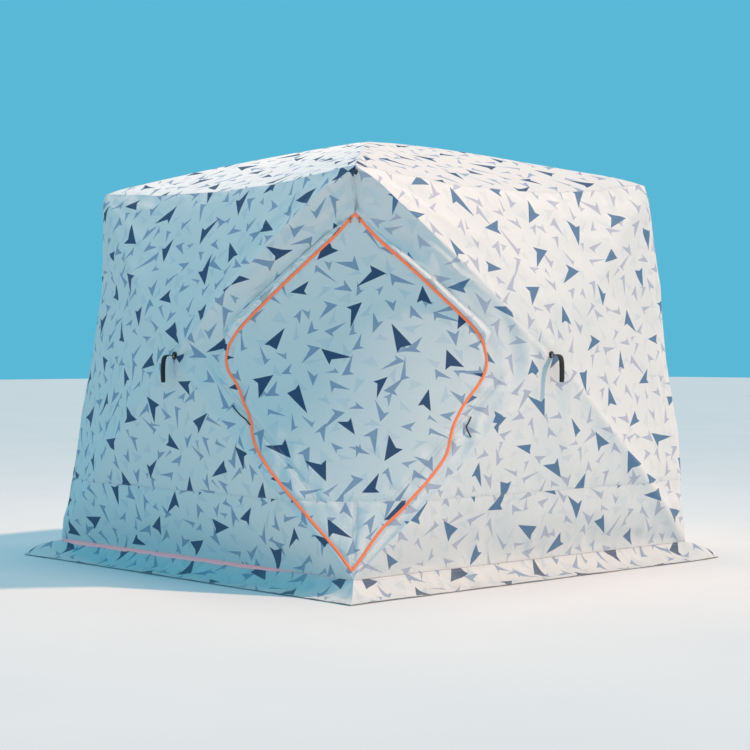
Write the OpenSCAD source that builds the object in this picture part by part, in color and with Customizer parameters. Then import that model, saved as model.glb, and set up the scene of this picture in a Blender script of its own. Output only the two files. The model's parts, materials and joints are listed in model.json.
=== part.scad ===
// Pop-up hub shelter for ice fishing: four bowed cloth walls, a low pyramid roof, a zipped
// diamond door across one corner, a ground skirt, and a folding frame of hubs and bent poles.
// The origin is on the ground under the roof's top. The door's corner points to -X and -Y.

/* [Shell] */
// Side of the square at the foot of the walls
base_side = 2340; // [2240:10:2440]
// Side of the square at the eaves
top_side = 2015; // [1940:5:2100]
// Height of the seam between walls and skirt
base_lift = 85; // [60:5:110]
// Height of the seam between the walls' upper and lower panels
seam_h = 415; // [340:5:500]
// Height of the corners of the eaves
eave_h = 1925; // [1880:5:2000]
// Height of the roof's top
peak_h = 2200; // [2150:5:2300]
// Thickness of the insulated cloth
cloth_t = 5; // [4:0.5:7]
// How far the middle of an eave is pulled in
eave_in = 45; // [10:5:70]
// How far the middle of an eave hangs down
eave_drop = 50; // [20:5:70]
// How far the middle of a corner seam is pulled in
corner_in = 25; // [5:5:45]
// Reach of the ground skirt beyond the walls
skirt_out = 140; // [110:5:180]
// Width of the skirt's rim that lies flat on the ground
skirt_rim = 40; // [25:5:60]
// Thickness of the skirt's cloth
skirt_t = 4; // [3:0.5:6]

/* [Door] */
// Height of the door's top point
door_top_h = 1704; // [1660:2:1740]
// Height of the door's bottom point
door_bottom_h = 122; // [118:2:150]
// Half the door's width at its side points
door_half_w = 592; // [540:4:640]
// Height of the door's side points
door_side_h = 1050; // [1000:10:1090]
// How far the door stands off the corner's line, to the left
door_off = 20; // [0:2:30]
// Distance from the corner's line at which the upper edges start to round
shoulder_p = 470; // [420:5:500]
// Half the door's width at its waist
waist_p = 440; // [400:5:460]
// Height of the door's waist
waist_h = 730; // [690:5:770]
// Distance from the lower poles to the door's lower edges, across
lower_margin = 65; // [50:5:90]
// Gap between the door's cloth and the cloth round it
door_gap = 4; // [3:0.5:6]
// Width of the zip's tape
zip_w = 18; // [14:1:24]
// Thickness of the zip
zip_t = 3; // [2:0.5:5]
// Width of the storm flap beside the zip at its lower end
flap_w = 54; // [40:2:60]
// Width of the storm flap at the door's top
flap_tip_w = 18; // [12:2:36]
// Thickness of the storm flap
flap_t = 3; // [2:0.5:4]

/* [Frame] */
// Height of the wall hubs
hub_h = 1065; // [1020:5:1100]
// How far a wall hub pushes out beyond the plane through the wall's corners
hub_out = 190; // [150:5:220]
// Outward bow of the cloth over a wall pole
wall_bow = 35; // [20:1:45]
// Upward bow of the cloth over a roof pole
roof_bow = 18; // [10:1:26]
// Diameter of a fibreglass pole
pole_d = 11; // [9.5:0.5:13]
// Diameter of a hub's body
hub_d = 84; // [76:2:96]
// Thickness of a hub's body
hub_t = 22; // [18:1:26]
// Depth of a hub's middle plane behind the cloth's outside
hub_sink = 26; // [25:1:34]
// Diameter of the circle through a hub's pivot pins
pivot_d = 54; // [50:1:60]
// Diameter of a pivot pin
pin_d = 5; // [4:0.5:6]
// Length of the ferrule at a pole's end
ferrule_l = 46; // [36:2:60]
// Depth of the floor inside a ferrule's tube
ferrule_floor = 6; // [4:1:10]
// Wall of the tubes of ferrules and sockets
tube_wall = 2.4; // [2:0.2:4]
// Radius of the eye on a ferrule's tongue
eye_r = 7; // [6:0.5:8]
// Width of the slots in a hub
slot_w = 8; // [7:0.5:10]
// Depth of a pin in the hub on each side of its slot
pin_cheek = 11; // [8:1:13]
// Radius of the boss with which a hub bears on the cloth
boss_r = 11; // [9:1:14]
// Distance of a corner joint's middle from the cloth's corner, along each axis
joint_in = 28; // [26:1:36]
// Radius of a corner joint's ball
joint_r = 19; // [17:0.5:20]
// Reach of a corner joint's sockets
joint_reach = 46; // [38:2:60]

/* [Fittings] */
// Diameter of the cap outside a wall hub
cap_d = 40; // [34:2:50]
// Width of the webbing of the pull straps
strap_w = 25; // [20:1:32]
// Height of a pull strap's drop
strap_drop = 120; // [90:5:150]
// Reach of a pull strap out from its cap
strap_reach = 72; // [50:2:90]
// Diameter of the piping above the skirt
piping_d = 7; // [5:0.5:9]
// Width of the binding on the skirt's edge
hem_w = 14; // [8:1:24]
// Width of the cord of the corner loop and the door ties
cord_w = 6; // [4:1:9]
// Thickness of that cord
cord_t = 4; // [3:0.5:6]
// Radius of the corner loop
loop_r = 15; // [12:1:20]

/* [Hidden] */

// Clearance between pieces that are sewn or seated together
seat_gap = 0.3;
// Lift of the trim off the cloth, which clears the cloth's facets
trim_lift = 1.2;
// Clearance round a pivot pin, and round what turns inside a hub
pin_gap = 0.2;
hub_air = 2;
// Depth of the floor in a corner joint's socket
socket_floor = 13;
// Bead on a ferrule's mouth, radius of the boss's tip, height of the grip ring
bead_w = 4;
bead_h = 1;
boss_tip_r = 3;
grip_h = 5;
// Rings of cloth from a hub to the corners, and those of them above the seam
rings = 12;
seam_ring = 8;
// Columns of cloth between a pole and the zip, and across the door
band_cols = 3;
door_cols = 8;
// Rings of the zip's outline along the straight upper edge, and down to its waist
shoulder_ring = 6;
waist_ring = 4;

base_half = base_side / 2;
top_half = top_side / 2;
pole_r = pole_d / 2;

function lerp(a, b, t) = a + (b - a) * t;
function unit(v) = v / norm(v);
function corner_half(z) = lerp(base_half, top_half, (z - base_lift) / (eave_h - base_lift));

// The frame's nodes as the cloth's outside goes over them, for the wall that faces -Y
hub_reach = corner_half(hub_h) + hub_out;
wall_hub = [0, -hub_reach, hub_h];
eave_corner = [top_half, -top_half, eave_h];
base_corner = [base_half, -base_half, base_lift];
roof_top = [0, 0, peak_h];
OUT = [0, -1, 0];
UP = [0, 0, 1];

// Direction in which a pole from a to b bows, square to its chord and towards out
function bow_dir(a, b, out) = let (d = unit(b - a)) unit(out - (out * d) * d);
// Point on the cloth over a pole, at the share t of the way from the hub to the corner
function over_pole(a, b, out, bow, t) = lerp(a, b, t) + bow_dir(a, b, out) * bow * 4 * t * (1 - t);

// Share of a lower pole at which it passes the horizontal seam
low_bow_z = 4 * wall_bow * bow_dir(wall_hub, base_corner, OUT).z;
low_run = hub_h - base_lift - low_bow_z;
low_fall = hub_h - seam_h;
seam_share = 2 * low_fall / (low_run + sqrt(low_run * low_run + 4 * low_bow_z * low_fall));

// Share of its pole at which ring i lies: rings above the hub are positive, below it negative
function ring_share(i) =
    i >= 0 ? i / rings
    : -i <= seam_ring ? seam_share * -i / seam_ring
    : lerp(seam_share, 1, (-i - seam_ring) / (rings - seam_ring));
ring_pts = [for (i = [-rings:rings])
    over_pole(wall_hub, i >= 0 ? eave_corner : base_corner, OUT, wall_bow, ring_share(i))];
function ring_pt(i) = ring_pts[i + rings];

// Point of a wall's outside at row i and column j, counted from the hub
function facet_pt(i, j) =
    let (m = max(abs(i), abs(j)), side = sign(j), full = m / rings)
    abs(j) <= abs(i)
        ? let (p = ring_pt(i), f = m == 0 ? 0 : j / m, pull = i > 0 ? (1 - f * f) * full * full : 0)
            [p.x * f, p.y + eave_in * pull, p.z - eave_drop * pull]
        : let (low = ring_pt(-m), high = ring_pt(m), f = (ring_pt(i).z - low.z) / (high.z - low.z),
            q = lerp(low, high, f), pull = corner_in * 4 * f * (1 - f) * full * full)
            [side * (q.x - pull), q.y + pull, q.z];
// The same, drawn back at the corner seams so that neighbours clear each other
function wall_pt(i, j) =
    let (p = facet_pt(i, j), back = abs(j) == rings ? seat_gap / sqrt(2) * sign(j) : 0)
    [p.x - back, p.y, p.z];
// The inside of a wall: it runs in towards the middle, and down under the roof at the eave
function wall_in(p, at_eave) =
    let (k = 1 - cloth_t / abs(p.y)) [p.x * k, p.y * k, p.z - (at_eave ? cloth_t : 0)];

// The front saddle spans the four poles round the door's corner. Its two shares run along the
// poles: u from the left side to the right, v from the right side to the left, both downwards.
tf = [-top_half, -top_half, eave_h];
bf = [-base_half, -base_half, base_lift];
rh = [0, -hub_reach, hub_h];
lh = [-hub_reach, 0, hub_h];
LEFT_OUT = [-1, 0, 0];
bow_tr = bow_dir(rh, tf, OUT);
bow_rb = bow_dir(rh, bf, OUT);
bow_tl = bow_dir(lh, tf, LEFT_OUT);
bow_lb = bow_dir(lh, bf, LEFT_OUT);
function saddle(s) =
    let (u = s[0], v = s[1], bu = 4 * wall_bow * u * (1 - u), bv = 4 * wall_bow * v * (1 - v))
    (1 - u) * (1 - v) * tf + u * (1 - v) * rh + (1 - u) * v * lh + u * v * bf
    + bu * ((1 - v) * bow_tr + v * bow_lb) + bv * ((1 - u) * bow_tl + u * bow_rb);
// Shares at which a point stands p to the right of the corner's line and z above the ground
half_chord = hub_reach / sqrt(2);
twist = eave_h + base_lift - 2 * hub_h;
function shares(p, z) =
    let (d = p / half_chord, fall = eave_h - z - twist * d * d / 4, run = eave_h - hub_h,
        s = 2 * fall / (run + sqrt(run * run - twist * fall)))
    [(s + d) / 2, (s - d) / 2];
// Direction straight out of the saddle
function saddle_out(s) =
    let (e = 0.01, du = saddle([s[0] + e, s[1]]) - saddle([s[0] - e, s[1]]),
        dv = saddle([s[0], s[1] + e]) - saddle([s[0], s[1] - e]))
    unit(cross(dv, du));
function on_saddle(pz, lift) = let (s = shares(pz[0], pz[1])) saddle(s) + saddle_out(s) * lift;

// The zip's outline, right half, as points [distance from the corner's line, height]
upper_slope = (eave_h - hub_h) / half_chord;
lower_slope = (hub_h - base_lift) / half_chord;
shoulder = [shoulder_p, door_top_h - shoulder_p * upper_slope];
side_pt = [door_half_w, door_side_h];
waist = [waist_p, waist_h];
knee = [(seam_h - base_lift) / lower_slope - lower_margin, seam_h];
round_h = 80;
waist_dir = [25, 100];
knee_dir = [95, 95 * lower_slope];
function curve(a, b, c, d, t) =
    let (r = 1 - t) r * r * r * a + 3 * r * r * t * b + 3 * r * t * t * c + t * t * t * d;
last_ring = rings - 1;
function zip_base(i) =
    i >= shoulder_ring ? lerp([0, door_top_h], shoulder, (last_ring - i) / (last_ring - shoulder_ring))
    : i >= 0 ? curve(shoulder, shoulder + [round_h, -round_h * upper_slope],
        side_pt + [0, round_h], side_pt, 1 - i / shoulder_ring)
    : -i <= waist_ring ? curve(side_pt, side_pt - [0, round_h], waist + waist_dir, waist, -i / waist_ring)
    : -i <= seam_ring ? curve(waist, waist - waist_dir, knee + knee_dir, knee,
        (-i - waist_ring) / (seam_ring - waist_ring))
    : lerp(knee, [0, door_bottom_h], (-i - seam_ring) / (last_ring - seam_ring));
// Point at ring i, side 1 on the right or -1 on the left, drawn out of the outline by off
function zip_pt(i, side, off) =
    let (b = zip_base(i),
        d = abs(i) == last_ring ? [sign(i), 0] : unit(zip_base(i - 0.1) - zip_base(i + 0.1)),
        tip = abs(i) == last_ring ? sqrt(2) : 1,
        q = b + [-d[1], d[0]] * off * tip)
    [side * q[0] * (1 - side * door_off / door_half_w), q[1]];

// Point of the cloth between the pole at ring i (column 0) and the zip (the last column)
function pole_shares(i) = i >= 0 ? [1 - ring_share(i), 0] : [1, ring_share(i)];
function band_pt(i, c, side) =
    let (z = zip_pt(i, side, door_gap / 2), e = shares(side * z[0], z[1]),
        q = saddle(lerp(pole_shares(i), e, c / band_cols)))
    abs(i) == last_ring && c == band_cols ? q + [1, -1, 0] * seat_gap / 2 : q;
// Its inside turns from the wall's way to the saddle's
function band_in(p, c) =
    let (k = cloth_t / abs(p.y), w = c / band_cols)
    p + lerp([-p.x * k, -p.y * k, 0], [1, 1, 0] * cloth_t / sqrt(2), w);

// A closed sheet: outside points, inside points, triangles on the outside seen clockwise, and
// the rim as one loop of points, clockwise too
module sheet(outside, inside, tris, rim) {
    n = len(outside);
    m = len(rim);
    polyhedron(
        points = concat(outside, inside),
        faces = concat(
            tris,
            [for (t = tris) [t[2] + n, t[1] + n, t[0] + n]],
            [for (k = [0:m - 1]) let (a = rim[k], b = rim[(k + 1) % m]) each
                [[b, a, a + n], [b, a + n, b + n]]]
        )
    );
}

// Triangles of one cell of a grid, with the crease along the diagonal that leaves the hub
function cell(a, b, c, d, rising) = rising ? [[a, c, b], [a, d, c]] : [[a, d, b], [b, d, c]];
span = 2 * rings + 1;
function wall_id(i, j) = (i + rings) * span + j + rings;
function wall_cells(i0, i1, cut) = [
    for (i = [i0:i1 - 1], j = [-rings:rings - 1])
        let (a = wall_id(i, j), b = wall_id(i, j + 1), c = wall_id(i + 1, j + 1), d = wall_id(i + 1, j),
            rising = (i >= 0) == (j >= 0), pole_here = i >= 0 ? j == -i - 1 : j == i,
            beyond = i >= 0 ? j < -i - 1 : j < i)
        each !cut ? cell(a, b, c, d, rising)
            : beyond ? []
            : pole_here ? (rising ? [[a, c, b]] : [[b, d, c]])
            : cell(a, b, c, d, rising)
];
function wall_grid(top_row, top_shift) = [for (i = [-rings:rings], j = [-rings:rings])
    wall_pt(i, j) - (i == top_row ? [0, 0, top_shift] : [0, 0, 0])];

// A whole wall panel, from row i0 up to row i1
module plain_panel(i0, i1) {
    shift = i1 == rings ? 0 : seat_gap;
    grid = wall_grid(i1, shift);
    sheet(
        grid,
        [for (k = [0:len(grid) - 1]) wall_in(grid[k], k >= wall_id(rings, -rings))],
        wall_cells(i0, i1, false),
        concat(
            [for (j = [-rings:rings]) wall_id(i1, j)],
            [for (i = [i1 - 1:-1:i0]) wall_id(i, rings)],
            [for (j = [rings - 1:-1:-rings]) wall_id(i0, j)],
            [for (i = [i0 + 1:i1 - 1]) wall_id(i, -rings)]
        )
    );
}

// A wall panel that runs on over the corner's poles to the zip; side is 1 for the right wall
band_base = span * span;
function band_id(i, c) = c == 0 ? wall_id(i, -abs(i)) : band_base + (i + rings) * (band_cols + 1) + c;
function band_cells(i0, i1) = [
    for (i = [i0:i1 - 1], c = [0:band_cols - 1])
        let (low = abs(i) == rings, high = abs(i + 1) == rings,
            a = low ? wall_id(i, -rings) : band_id(i, c), b = low ? a : band_id(i, c + 1),
            d = high ? wall_id(i + 1, -rings) : band_id(i + 1, c), e = high ? d : band_id(i + 1, c + 1))
        each low ? [[a, e, d]] : high ? [[a, b, d]] : [[a, b, e], [a, e, d]]
];
module door_side_panel(i0, i1, side) {
    shift = i1 == rings ? 0 : seat_gap;
    grid = wall_grid(i1, shift);
    band = [for (i = [-rings:rings], c = [0:band_cols])
        abs(i) == rings ? grid[wall_id(i, -rings)]
            : band_pt(i, c, side) - (i == i1 ? [0, 0, shift] : [0, 0, 0])];
    left0 = i0 == -rings ? i0 + 1 : i0;
    left1 = i1 == rings ? i1 - 1 : i1;
    sheet(
        concat(grid, band),
        concat(
            [for (k = [0:len(grid) - 1]) wall_in(grid[k], k >= wall_id(rings, -rings))],
            [for (k = [0:len(band) - 1]) band_in(band[k], k % (band_cols + 1))]
        ),
        concat(wall_cells(i0, i1, true), band_cells(i0, i1)),
        concat(
            i1 == rings ? [] : [for (c = [band_cols:-1:1]) band_id(i1, c)],
            [for (j = [-abs(i1):rings]) wall_id(i1, j)],
            [for (i = [i1 - 1:-1:i0]) wall_id(i, rings)],
            [for (j = [rings - 1:-1:-abs(i0)]) wall_id(i0, j)],
            i0 == -rings ? [] : [for (c = [1:band_cols]) band_id(i0, c)],
            [for (i = [i0 == -rings ? left0 : i0 + 1:i1 == rings ? left1 : i1 - 1]) band_id(i, band_cols)]
        )
    );
}

// Turns a piece of the wall that faces -Y to one of the four sides
module on_side(side) {
    if (side == "right") children();
    if (side == "left") mirror([1, -1, 0]) children();
    if (side == "back_right") rotate([0, 0, 90]) children();
    if (side == "back_left") rotate([0, 0, 180]) children();
}

CLOTH = "ghostwhite";
module wall_upper(side) color(CLOTH) on_side(side) {
    if (side == "right") door_side_panel(-seam_ring, rings, 1);
    else if (side == "left") door_side_panel(-seam_ring, rings, -1);
    else plain_panel(-seam_ring, rings);
}
module wall_lower(side) color(CLOTH) on_side(side) {
    if (side == "right") door_side_panel(-rings, -seam_ring, 1);
    else if (side == "left") door_side_panel(-rings, -seam_ring, -1);
    else plain_panel(-rings, -seam_ring);
}

// One quarter of the roof, from its top down to an eave
function roof_pt(m, j) =
    let (t = m / rings, f = m == 0 ? 0 : j / m, p = over_pole(roof_top, eave_corner, UP, roof_bow, t),
        pull = (1 - f * f) * t * t, back = abs(j) == m ? seat_gap / sqrt(2) * sign(j) : 0)
    [p.x * f - back, p.y + eave_in * pull - (m == 0 ? seat_gap : 0), p.z - eave_drop * pull + seat_gap];
function roof_in(p, m) =
    let (k = m == rings ? 1 - cloth_t / abs(p.y) : 1) [p.x * k, p.y * k, p.z - cloth_t];
module roof_gore(side) {
    ids = [for (m = [0:rings], j = [-rings:rings]) [m, j]];
    function id(m, j) = m * span + j + rings;
    color(CLOTH) on_side(side) sheet(
        [for (k = ids) abs(k[1]) <= k[0] ? roof_pt(k[0], k[1]) : roof_top],
        [for (k = ids) abs(k[1]) <= k[0] ? roof_in(roof_pt(k[0], k[1]), k[0]) : roof_top],
        [for (m = [0:rings - 1], j = [-m - 1:m])
            let (a = id(m, j), b = id(m, j + 1), c = id(m + 1, j + 1), d = id(m + 1, j))
            each j == -m - 1 ? [[b, c, d]] : j == m ? [[a, c, d]]
                : j >= 0 ? [[a, c, d], [a, b, c]] : [[a, b, d], [b, c, d]]],
        concat(
            [for (m = [0:rings]) id(m, m)],
            [for (j = [rings - 1:-1:-rings]) id(rings, j)],
            [for (m = [rings - 1:-1:1]) id(m, -m)]
        )
    );
}

// The skirt falls from the walls' foot in a curve and lies flat at its rim
skirt_fall = skirt_out - skirt_rim;
skirt_steps = 6;
skirt_top = base_lift - seat_gap;
function skirt_z(d) =
    skirt_t + (skirt_top - skirt_t) * pow(max(0, 1 - d / skirt_fall), 2);
function skirt_under(d) =
    let (slope = 2 * (skirt_top - skirt_t) / skirt_fall * max(0, 1 - d / skirt_fall))
    skirt_z(d) - skirt_t * sqrt(1 + slope * slope);
module skirt_wedge(gap) {
    far = base_half + 2 * skirt_out;
    translate([0, -gap / sqrt(2), 0])
        linear_extrude(height = 2 * base_lift, convexity = 4) polygon([[0, 0], [-far, -far], [far, -far]]);
}
module skirt(side) {
    steps = [for (k = [0:skirt_steps]) skirt_fall * k / skirt_steps];
    section = concat(
        [for (d = steps) [base_half + d, skirt_z(d)]],
        [[base_half + skirt_out, skirt_t], [base_half + skirt_out, 0]],
        [for (k = [skirt_steps:-1:0]) [base_half + steps[k], skirt_under(steps[k])]]
    );
    color(CLOTH) on_side(side) intersection() {
        rotate([90, 0, -90]) linear_extrude(height = 2 * (base_half + skirt_out) + 2, center = true)
            polygon([for (p = section) [p[0], p[1]]]);
        skirt_wedge(seat_gap);
    }
}

// The door's cloth, split by the same seam as the walls
function door_pt(i, c) =
    let (l = zip_pt(i, -1, -door_gap / 2), r = zip_pt(i, 1, -door_gap / 2))
    saddle(lerp(shares(l[0], l[1]), shares(r[0], r[1]), c / door_cols));
module door_cloth(i0, i1) {
    function id(i, c) = (i - i0) * (door_cols + 1) + (abs(i) == last_ring ? 0 : c);
    shift = i1 == last_ring ? 0 : seat_gap;
    pts = [for (i = [i0:i1], c = [0:door_cols]) door_pt(i, c) - (i == i1 ? [0, 0, shift] : [0, 0, 0])];
    color(CLOTH) sheet(
        pts,
        [for (p = pts) p + [1, 1, 0] * cloth_t / sqrt(2)],
        [for (i = [i0:i1 - 1], c = [0:door_cols - 1])
            let (a = id(i, c), b = id(i, c + 1), e = id(i + 1, c + 1), d = id(i + 1, c))
            each i == -last_ring ? [[a, d, e]] : i + 1 == last_ring ? [[a, d, b]]
                : 2 * c < door_cols ? [[a, e, b], [a, d, e]] : [[a, d, b], [b, d, e]]],
        concat(
            i1 == last_ring ? [id(i1, 0)] : [for (c = [0:door_cols]) id(i1, c)],
            [for (i = [i1 - 1:-1:i0 + 1]) id(i, door_cols)],
            i0 == -last_ring ? [id(i0, 0)] : [for (c = [door_cols:-1:0]) id(i0, c)],
            [for (i = [i0 + 1:i1 - 1]) id(i, 0)]
        )
    );
}
module door_upper_panel() door_cloth(-seam_ring, last_ring);
module door_lower_panel() door_cloth(-last_ring, -seam_ring);

// A flat band on the saddle between two lines of points, closed into a loop or with two ends
module band(outer, inner, lift, thick, closed) {
    n = len(outer);
    pts = [for (k = [0:n - 1]) each [
        on_saddle(outer[k], lift), on_saddle(outer[k], lift + thick),
        on_saddle(inner[k], lift + thick), on_saddle(inner[k], lift)]];
    polyhedron(
        points = pts,
        faces = concat(
            [for (k = [0:(closed ? n - 1 : n - 2)], s = [0:3])
                let (a = 4 * k + s, b = 4 * k + (s + 1) % 4, c = 4 * ((k + 1) % n) + (s + 1) % 4,
                    d = 4 * ((k + 1) % n) + s)
                each s < 2 ? [[a, b, c], [a, c, d]] : [[a, b, d], [b, c, d]]],
            closed ? [] : [[3, 2, 1, 0], [for (s = [0:3]) 4 * (n - 1) + s]]
        )
    );
}
module door_zip() {
    function side_line(off) = concat(
        [for (i = [last_ring:-1:-last_ring]) zip_pt(i, 1, off)],
        [for (i = [1 - last_ring:last_ring - 1]) zip_pt(i, -1, off)]
    );
    color("orangered") band(side_line(zip_w / 2), side_line(-zip_w / 2), trim_lift, zip_t, true);
}

// The flaps lie beside the upper edges of the zip, outside it, and widen downwards
flap_first = last_ring - 0.3;
flap_run = 9;
flap_last = flap_first - flap_run;
flap_gap = 2;
flap_in = zip_w / 2 + flap_gap;
// Lifts that clear the cloth's facets, which differ beside the door
right_flap_lift = 1.1;
left_flap_lift = 2.1;
module storm_flap(side) {
    rows = side > 0 ? [flap_first:-1:flap_last] : [flap_last:flap_first];
    outer = [for (i = rows)
        zip_pt(i, side, flap_in + lerp(flap_w, flap_tip_w, (i - flap_last) / flap_run))];
    inner = [for (i = rows) zip_pt(i, side, flap_in)];
    color(CLOTH) band(outer, inner, side > 0 ? right_flap_lift : left_flap_lift, flap_t, false);
}

// Two sliders meet at the zip's top point, each with a pull
slider_l = 16;
slider_w = 13;
slider_t = 6;
slider_ring = last_ring - 0.22;
pull_l = 18;
pull_w = 6;
pull_t = 2;
module zip_sliders() {
    color("dimgray") for (side = [1, -1]) {
        at = zip_pt(slider_ring, side, 0);
        s = shares(at[0], at[1]);
        out = saddle_out(s);
        down = unit(saddle(shares(at[0], at[1] - 1)) - saddle(s));
        place(saddle(s) + out * (trim_lift + zip_t + seat_gap), out, down) {
            translate([-slider_l / 2, -slider_w / 2, 0]) cube([slider_l, slider_w, slider_t]);
            translate([slider_l / 2 + seat_gap, -pull_w / 2, slider_t - pull_t])
                cube([pull_l, pull_w, pull_t]);
        }
    }
}

// Places children with their Z along out and their X along the part of dir that is square to it
module place(at, out, dir) {
    x = unit(dir - (dir * out) * out);
    y = cross(out, x);
    multmatrix([[x.x, y.x, out.x, at.x], [x.y, y.y, out.y, at.y], [x.z, y.z, out.z, at.z], [0, 0, 0, 1]])
        children();
}

// Piping on the seam between walls and skirt, one run a side, with its tape on the skirt
piping_tape_w = 14;
piping_tape_t = 1.5;
tape_steps = 3;
module wall_piping() {
    r = piping_d / 2;
    run = 2 * (base_half - piping_d);
    drop = (skirt_top - skirt_t) / skirt_fall;
    slope = 2 * drop * (1 - piping_tape_w / 2 / skirt_out);
    away = unit([slope, 1]);
    line = [for (k = [0:tape_steps]) let (d = 1 + piping_tape_w * away[1] * k / tape_steps)
        [base_half + d, skirt_z(d)]];
    color("salmon") for (side = ["right", "left", "back_right", "back_left"]) on_side(side) {
        translate([0, -base_half - r - 1, base_lift + 2]) along_x()
            cylinder(h = run, r = r, center = true, $fn = 24);
        rotate([90, 0, -90]) linear_extrude(height = run, center = true) polygon(concat(
            [for (p = line) p + away * (seat_gap + piping_tape_t)],
            [for (k = [tape_steps:-1:0]) line[k] + away * seat_gap]));
    }
}

// Binding on the top of the skirt's rim, one run a side
hem_t = 1.2;
module skirt_hem() {
    run = base_half + skirt_out - seat_gap;
    color("slategray") for (side = ["right", "left", "back_right", "back_left"])
        on_side(side) translate([0, 0, skirt_t + seat_gap]) linear_extrude(height = hem_t)
            polygon([[-run, -run], [run, -run], [run - hem_w, hem_w - run], [hem_w - run, hem_w - run]]);
}

// Folding frame. A hub lies behind the cloth, with its axis straight out
wall_hub_at = wall_hub - OUT * hub_sink;
roof_slope = (peak_h - eave_h + eave_drop) / (top_half - eave_in);
roof_hub_at = roof_top - UP * (hub_t / 2 + cloth_t + hub_air + hub_d / 2 * roof_slope);
top_joint_at = eave_corner + [-joint_in, joint_in, -joint_in];
base_joint_at = base_corner + [-joint_in, joint_in, joint_in / 2];
pole_tuck = cloth_t + trim_lift + pole_r;
pivot_r = pivot_d / 2;

// The arc of a pole from a to b that passes through touch at the middle of its length, as
// [centre, direction of the chord, direction of the bow, radius, half its angle]
function arc_of(a, b, out, touch) =
    let (d = unit(b - a), n = bow_dir(a, b, out), rise = (touch - (a + b) / 2) * n, run = norm(b - a),
        r = (run * run / 4 + rise * rise) / (2 * rise))
    [(a + b) / 2 + n * (rise - r), d, n, r, asin(run / 2 / r)];
function arc_angle(arc, length) = length / arc[3] * 180 / PI;
// Directions away from the arc's ends, along the chord of its first or last stretch
function leaves(arc, stretch) =
    let (a = arc[4] - arc_angle(arc, stretch) / 2) arc[1] * cos(a) + arc[2] * sin(a);
function comes_back(arc, stretch) =
    let (a = arc[4] - arc_angle(arc, stretch) / 2) arc[2] * sin(a) - arc[1] * cos(a);
// Where the cloth touches a pole
function touch_pt(a, b, out, bow) = over_pole(a, b, out, bow, 0.5) - bow_dir(a, b, out) * pole_tuck;
// Angle of a pole round its hub, and the pin that it pivots on
function hub_angle(joint_at) = atan2(joint_at.z - hub_h, joint_at.x);
function wall_pin_at(joint_at) =
    let (a = hub_angle(joint_at)) wall_hub_at + [cos(a), 0, sin(a)] * pivot_r;
roof_pin_at = roof_hub_at + unit([1, -1, 0]) * pivot_r;

top_arc = arc_of(wall_pin_at(top_joint_at), top_joint_at, OUT,
    touch_pt(wall_hub, eave_corner, OUT, wall_bow));
base_arc = arc_of(wall_pin_at(base_joint_at), base_joint_at, OUT,
    touch_pt(wall_hub, base_corner, OUT, wall_bow));
roof_arc = arc_of(roof_pin_at, top_joint_at, UP, touch_pt(roof_top, eave_corner, UP, roof_bow));

// A pole is one rod bent to its arc, from the floor of its ferrule to the floor of its socket
module pole(arc) {
    a0 = arc_angle(arc, neck + ferrule_floor + seat_gap) - arc[4];
    a1 = arc[4] - arc_angle(arc, socket_floor + seat_gap);
    place(arc[0], cross(arc[2], arc[1]), arc[2])
        rotate([0, 0, a0]) rotate_extrude(angle = a1 - a0, $fn = 256) translate([arc[3], 0])
            circle(r = pole_r, $fn = 20);
}
// One of something for each of the four sides, and each of a wall's two halves
module four_sides() {
    for (side = ["right", "left", "back_right", "back_left"])
        on_side(side) mirror([side == "left" ? 1 : 0, 0, 0]) children();
}
module both_halves() {
    for (s = [0, 1]) mirror([s, 0, 0]) children();
}
module wall_poles(side) {
    color("gold") on_side(side) both_halves() {
        pole(top_arc);
        pole(base_arc);
    }
}
module roof_poles() {
    color("gold") four_sides() pole(roof_arc);
}

// Ferrule glued on a pole's inner end: a tube, and a tongue whose eye turns on the hub's pin
tongue_t = slot_w - 2 * seat_gap;
ferrule_r = pole_r + seat_gap + tube_wall;
neck = hub_d / 2 - pivot_r + hub_air;
module along_x() {
    rotate([0, 90, 0]) children();
}
module along_y() {
    rotate([90, 0, 0]) children();
}
module ferrule() {
    difference() {
        union() {
            along_y() cylinder(h = tongue_t, r = eye_r, center = true, $fn = 32);
            translate([0, -tongue_t / 2, -eye_r * 0.8])
                cube([neck + ferrule_floor / 2, tongue_t, eye_r * 1.6]);
            translate([neck, 0, 0]) along_x() cylinder(h = ferrule_l, r = ferrule_r, $fn = 40);
            translate([neck + ferrule_l - bead_w, 0, 0])
                along_x() cylinder(h = bead_w, r = ferrule_r + bead_h, $fn = 40);
        }
        along_y() cylinder(h = 2 * slot_w, r = pin_hole_r, center = true, $fn = 24);
        translate([neck + ferrule_floor, 0, 0])
            along_x() cylinder(h = ferrule_l, r = pole_r + seat_gap, $fn = 40);
    }
}
module seated_ferrule(at, arc, out) {
    dir = leaves(arc, neck + ferrule_l);
    place(at, unit(out - (out * dir) * dir), dir) ferrule();
}
module pole_ferrules() {
    color("dimgray") {
        four_sides() {
            both_halves() {
                seated_ferrule(wall_pin_at(top_joint_at), top_arc, OUT);
                seated_ferrule(wall_pin_at(base_joint_at), base_arc, OUT);
            }
            seated_ferrule(roof_pin_at, roof_arc, UP);
        }
    }
}

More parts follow.
